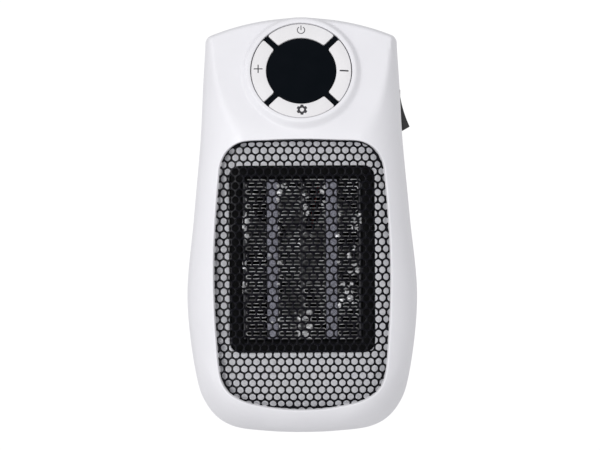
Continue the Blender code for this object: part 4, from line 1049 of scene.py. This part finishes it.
def make_icons():
    """Printed signs: a thin layer just proud of each button."""
    printed = (on_dial(BUTTON_TOP + 0.02 * MM), 0.05 * MM)
    top = np.array((0.0, BUTTON_ORBIT + 0.1 * MM))
    ring = arc(top, 1.7 * MM, math.radians(128), math.radians(412), 32)
    power = Solid().sheet(stroke(ring, 0.42 * MM), [], *printed)
    power.sheet(stroke([top + (0, up * MM) for up in (0.1, 1.1, 2.1)], 0.42 * MM), [], *printed)
    add_piece("power_icon", power, "icon_pale", "power_button")

    left = np.array((-BUTTON_ORBIT, 0.9 * MM))
    arm, half = 2.05 * MM, 0.24 * MM
    plus = [(half, arm), (half, half), (arm, half), (arm, -half), (half, -half), (half, -arm)]
    plus += [(-x, -z) for x, z in plus]
    cross = Solid().sheet(np.array(plus) + left, [], *printed)
    add_piece("plus_icon", cross, "icon_grey", "plus_button")

    right = np.array((BUTTON_ORBIT - 0.1 * MM, -0.2 * MM))
    line = [right + (-1.75 * MM, 0.1 * MM), right, right + (1.75 * MM, -0.1 * MM)]
    bar = Solid().sheet(stroke(line, 0.7 * MM), [], *printed)
    add_piece("minus_icon", bar, "icon_grey", "minus_button")

    low = np.array((0.25 * MM, -BUTTON_ORBIT + 0.6 * MM))
    teeth = 6
    rim = []
    for tooth in range(teeth):
        middle = math.radians(90) - tooth * TURN / teeth
        for offset, radius in ((0.36, 1.95), (0.25, 2.55), (-0.25, 2.55), (-0.36, 1.95)):
            rim.append((radius * MM * math.cos(middle + offset), radius * MM * math.sin(middle + offset)))
    gear = Solid().sheet(rounded_corners(rim, 0.16 * MM, 2) + low, [circle(0.95 * MM, 32, low)], *printed)
    add_piece("settings_icon", gear, "icon_grey", "settings_button")


# ---- rocker switch


def make_switch():
    """The rocker with its dished face, and the housing's bezel and body round it."""
    axis = sum(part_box("rocker_pin"), Vector()) / 2
    face = smooth_through([(3.4, 7.5), (3.03, 3.75), (2.9, 0.0), (3.03, -3.75), (3.4, -7.5)], 8)
    back = smooth_through([(-0.8, -8.4), (-1.8, -4.5), (-2.6, 0.0), (-1.8, 4.5), (-0.8, 8.4)], 6)
    profile = spaced(clockwise(np.concatenate([face, back]) * MM), 0.5 * MM)
    width, rounding = 10.6 * MM, 0.45 * MM
    bore = circle(1.1 * MM, 24)
    rocker = Solid().sheet(profile, [bore], upright(-width / 2), width, rounding, rounding)
    tilt = np.array(Euler((0, -ROCKER_REST, 0)).to_matrix())
    rocker.points = [rocker.points[0] @ tilt.T + np.array(axis)]
    add_piece("rocker_cap", rocker, "switch_black", "rocker", ["rocker"])

    low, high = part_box("switch_housing")
    # Width, height and corner radius of the cavity, the bezel and the body, in mm
    sizes = [(11.4, 18.2, 0.6), (14.8, 22.2, 1.1), (12.6, 19.8, 0.5)]
    cavity, bezel, body = (
        spaced(rounded_rectangle(wide * MM, tall * MM, corner * MM, (axis.y, axis.z)), 1.0 * MM)
        for wide, tall, corner in sizes
    )
    floor_x = high.x - 9.5 * MM
    housing = Solid().sheet(bezel, [cavity], sideways(high.x), 1.4 * MM, 0.4 * MM)
    housing.sheet(body, [cavity], sideways(high.x - 1.2 * MM), 9.0 * MM)
    housing.sheet(body, [], sideways(floor_x), floor_x - low.x)
    add_piece("switch_body", housing, "switch_black", stands_for=["switch_housing"])


# ---- plug, fan and intake


def make_plug():
    """The turning plug: a disc with an eased rim and a ring groove, and two round pins."""
    low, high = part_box("plug_body")
    rim, flange, flange_y = 19.0, 22.4 * MM, -19.6 * MM
    face = [(14.5, 0.0), (14.8, -0.35), (15.4, -0.35), (15.7, 0.0), (17.6, 0.0)]
    face += [(rim - inset, -depth) for inset, depth in edge_profile(1.4, 6)[1:]]
    profile = [(AXIS_GAP, high.y)] + [(radius * MM, high.y + y * MM) for radius, y in face]
    profile += [(rim * MM, flange_y), (flange, flange_y), (flange, low.y), (AXIS_GAP, low.y)]
    body = Solid().lathe(profile, (0, 0, 0), 96)
    add_piece("plug_housing", body, "case_white", "plug", ["plug_body"])
    for name in ("plug_pin_left", "plug_pin_right"):
        low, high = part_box(name)
        x, radius = (low.x + high.x) / 2, (high.x - low.x) / 2
        tip_y, tip_length = high.y - 2.0 * MM, 2.0 * MM
        angles = np.linspace(0, 1.45, 8)
        tip = [(radius * math.cos(angle), tip_y + tip_length * math.sin(angle)) for angle in angles]
        profile = [(AXIS_GAP / 2, low.y), (radius, low.y), *tip, (AXIS_GAP / 2, high.y)]
        pin = Solid().lathe(profile, (x, 0, 0), 40)
        add_piece(f"{name}_contact", pin, "nickel", "plug", [name])


def make_impeller():
    """A hub with a domed nose and seven blades on a helix."""
    low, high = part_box("impeller")
    middle = (low.y + high.y) / 2
    blades, twist, rise = 7, math.radians(17), 4.0 * MM
    hub, dome = 11.0 * MM, 3.0 * MM
    nose = [(hub * math.cos(a), low.y + dome - dome * math.sin(a)) for a in np.linspace(0, 1.5, 9)]
    profile = [(0.3 * MM, low.y), (0.3 * MM, high.y), (hub, high.y), *nose]
    wheel = Solid().lathe(profile, (0, 0, HEATER_Z), 72)
    span, chord, middle_radius = 22.6 * MM, 20.0 * MM, 21.7 * MM
    outline = spaced(rounded_rectangle(span, chord, 2.5 * MM, (middle_radius, 0)), 1.5 * MM)
    grid = grid_inside(outline, [], 2.5 * MM, 1.2 * MM)
    for blade in range(blades):

        def helix(points, start=blade * TURN / blades):
            radius, share = points[:, 0], points[:, 1] / (chord / 2)
            angle = start + share * twist
            y = middle + share * rise
            return np.stack([radius * np.cos(angle), y, HEATER_Z + radius * np.sin(angle)], 1)

        wheel.sheet(outline, [], along_normals(helix, True), 1.2 * MM, 0.3 * MM, 0.3 * MM, grid, 2)
    add_piece("impeller_wheel", wheel, "plastic_grey", "fan", ["impeller"])


def make_intake_screen():
    """A fine dark wire net over the intake slots, inside the rear shell, and a near-black fibrous disc on it:
    both block the view through the heater, as painted shade.
    """
    radius, pitch, half, gauge = 35.5 * MM, 1.0 * MM, 0.36 * MM, 0.2 * MM
    screen = Solid()
    for step in range(-35, 36):
        offset = step * pitch
        reach = math.sqrt(radius**2 - offset**2)
        for layer, (across, along) in enumerate([(half, reach), (reach, half)]):
            middle = (offset, HEATER_Z) if layer == 0 else (0, HEATER_Z + offset)
            wire = rounded_rectangle(2 * across, 2 * along, 0.05 * MM, middle, 1)
            screen.sheet(wire, [], upright(SCREEN_Y + layer * gauge / 2), gauge)
    add_piece("intake_screen", screen, "grille_black")
    rim = circle(radius - 0.3 * MM, 96, (0, HEATER_Z))
    shade_felt = Solid().sheet(rim, [], upright(SCREEN_Y - 1.5 * MM), 1.2 * MM, 0.4 * MM, 0.4 * MM)
    add_piece("intake_shade_disc", shade_felt, "shade_felt")


# ---- frame nodes that stay


KEPT_FINISHES = {
    "plastic_black": [
        "button_carrier", "air_duct", "fan_frame", "motor_end_cap", "plug_retainer", "tact_switch",
    ],
    "plastic_grey": ["led_display"],
    "plastic_ivory": ["relay", "filter_capacitor", "thermal_cutoff"],
    "steel": ["motor_can", "motor_armature", "fan_shaft", "rocker_pin", "thermal_fuse"],
    "brass": ["contact_spring", "contact_ring", "heater_terminal", "switch_terminal"],
    "board_green": ["control_board", "main_board"],
    "lead_insulation": ["heater_lead", "motor_lead"],
}


def finish_kept_nodes():
    for finish, words in KEPT_FINISHES.items():
        for name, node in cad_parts.items():
            if any(word in name for word in words) and not node.hide_render:
                node.data.materials.clear()
                node.data.materials.append(MATERIALS[finish])


# ---- stage


def make_world():
    """White behind the object; it lights from a soft gradient, a little brighter from the left."""
    world = bpy.data.worlds.new("studio")
    bpy.context.scene.world = world
    shading = Shading(world)
    shading.nodes.clear()
    turn = shading.add("VectorMath")
    turn.operation = "DOT_PRODUCT"
    turn.inputs[1].default_value = Vector(WORLD_BRIGHT_SIDE).normalized()
    shading.links.new(shading.add("TexCoord").outputs["Generated"], turn.inputs[0])
    strength = shading.ranged(turn.outputs["Value"], *WORLD_STRENGTH, -1.0, 1.0)
    soft = shading.add("Background", Color=(0.985, 0.985, 1.0, 1), Strength=strength)
    seen = shading.add("Background", Color=(1, 1, 1, 1), Strength=1.05)
    mix = shading.add("MixShader", Fac=shading.add("LightPath").outputs["Is Camera Ray"])
    shading.links.new(soft.outputs["Background"], mix.inputs[1])
    shading.links.new(seen.outputs["Background"], mix.inputs[2])
    shading.add("OutputWorld", Surface=mix.outputs["Shader"])


def make_stage():
    """A pale round floor below the object, the lights and the camera."""
    bm = bmesh.new()
    bmesh.ops.create_circle(bm, cap_ends=True, segments=128, radius=FLOOR_RADIUS)
    mesh = bpy.data.meshes.new("floor")
    bm.to_mesh(mesh)
    bm.free()
    finish = surface_material("floor_pale", (0.86, 0.86, 0.86), (0.88, 0.88, 0.88), (0.75, 0.85), 6)
    mesh.materials.append(finish)
    floor = new_object("floor", mesh)
    floor.location = (0, 0, BODY_BOTTOM - FLOOR_DROP)

    for name, place, size, power in LIGHTS:
        data = bpy.data.lights.new(name, "AREA")
        data.shape, data.size, data.energy = "SQUARE", size, power
        light = new_object(name, data)
        light.location = place
        light.rotation_euler = (LIT_POINT - Vector(place)).to_track_quat("-Z", "Y").to_euler()

    camera = new_object("camera", bpy.data.cameras.new("camera"))
    camera.data.lens = CAMERA_LENS
    camera.location = CAMERA_PLACE
    camera.rotation_euler = (math.radians(90), CAMERA_ROLL, 0)
    bpy.context.scene.camera = camera
    bpy.context.scene.view_settings.view_transform = "Standard"


make_front_shell()
make_rear_shell()
make_screws()
make_grille()
make_baffle()
make_heater()
make_glint_lumps()
make_dial()
make_switch()
make_plug()
make_impeller()
make_intake_screen()
finish_kept_nodes()
make_world()
make_stage()

bpy.context.view_layer.update()
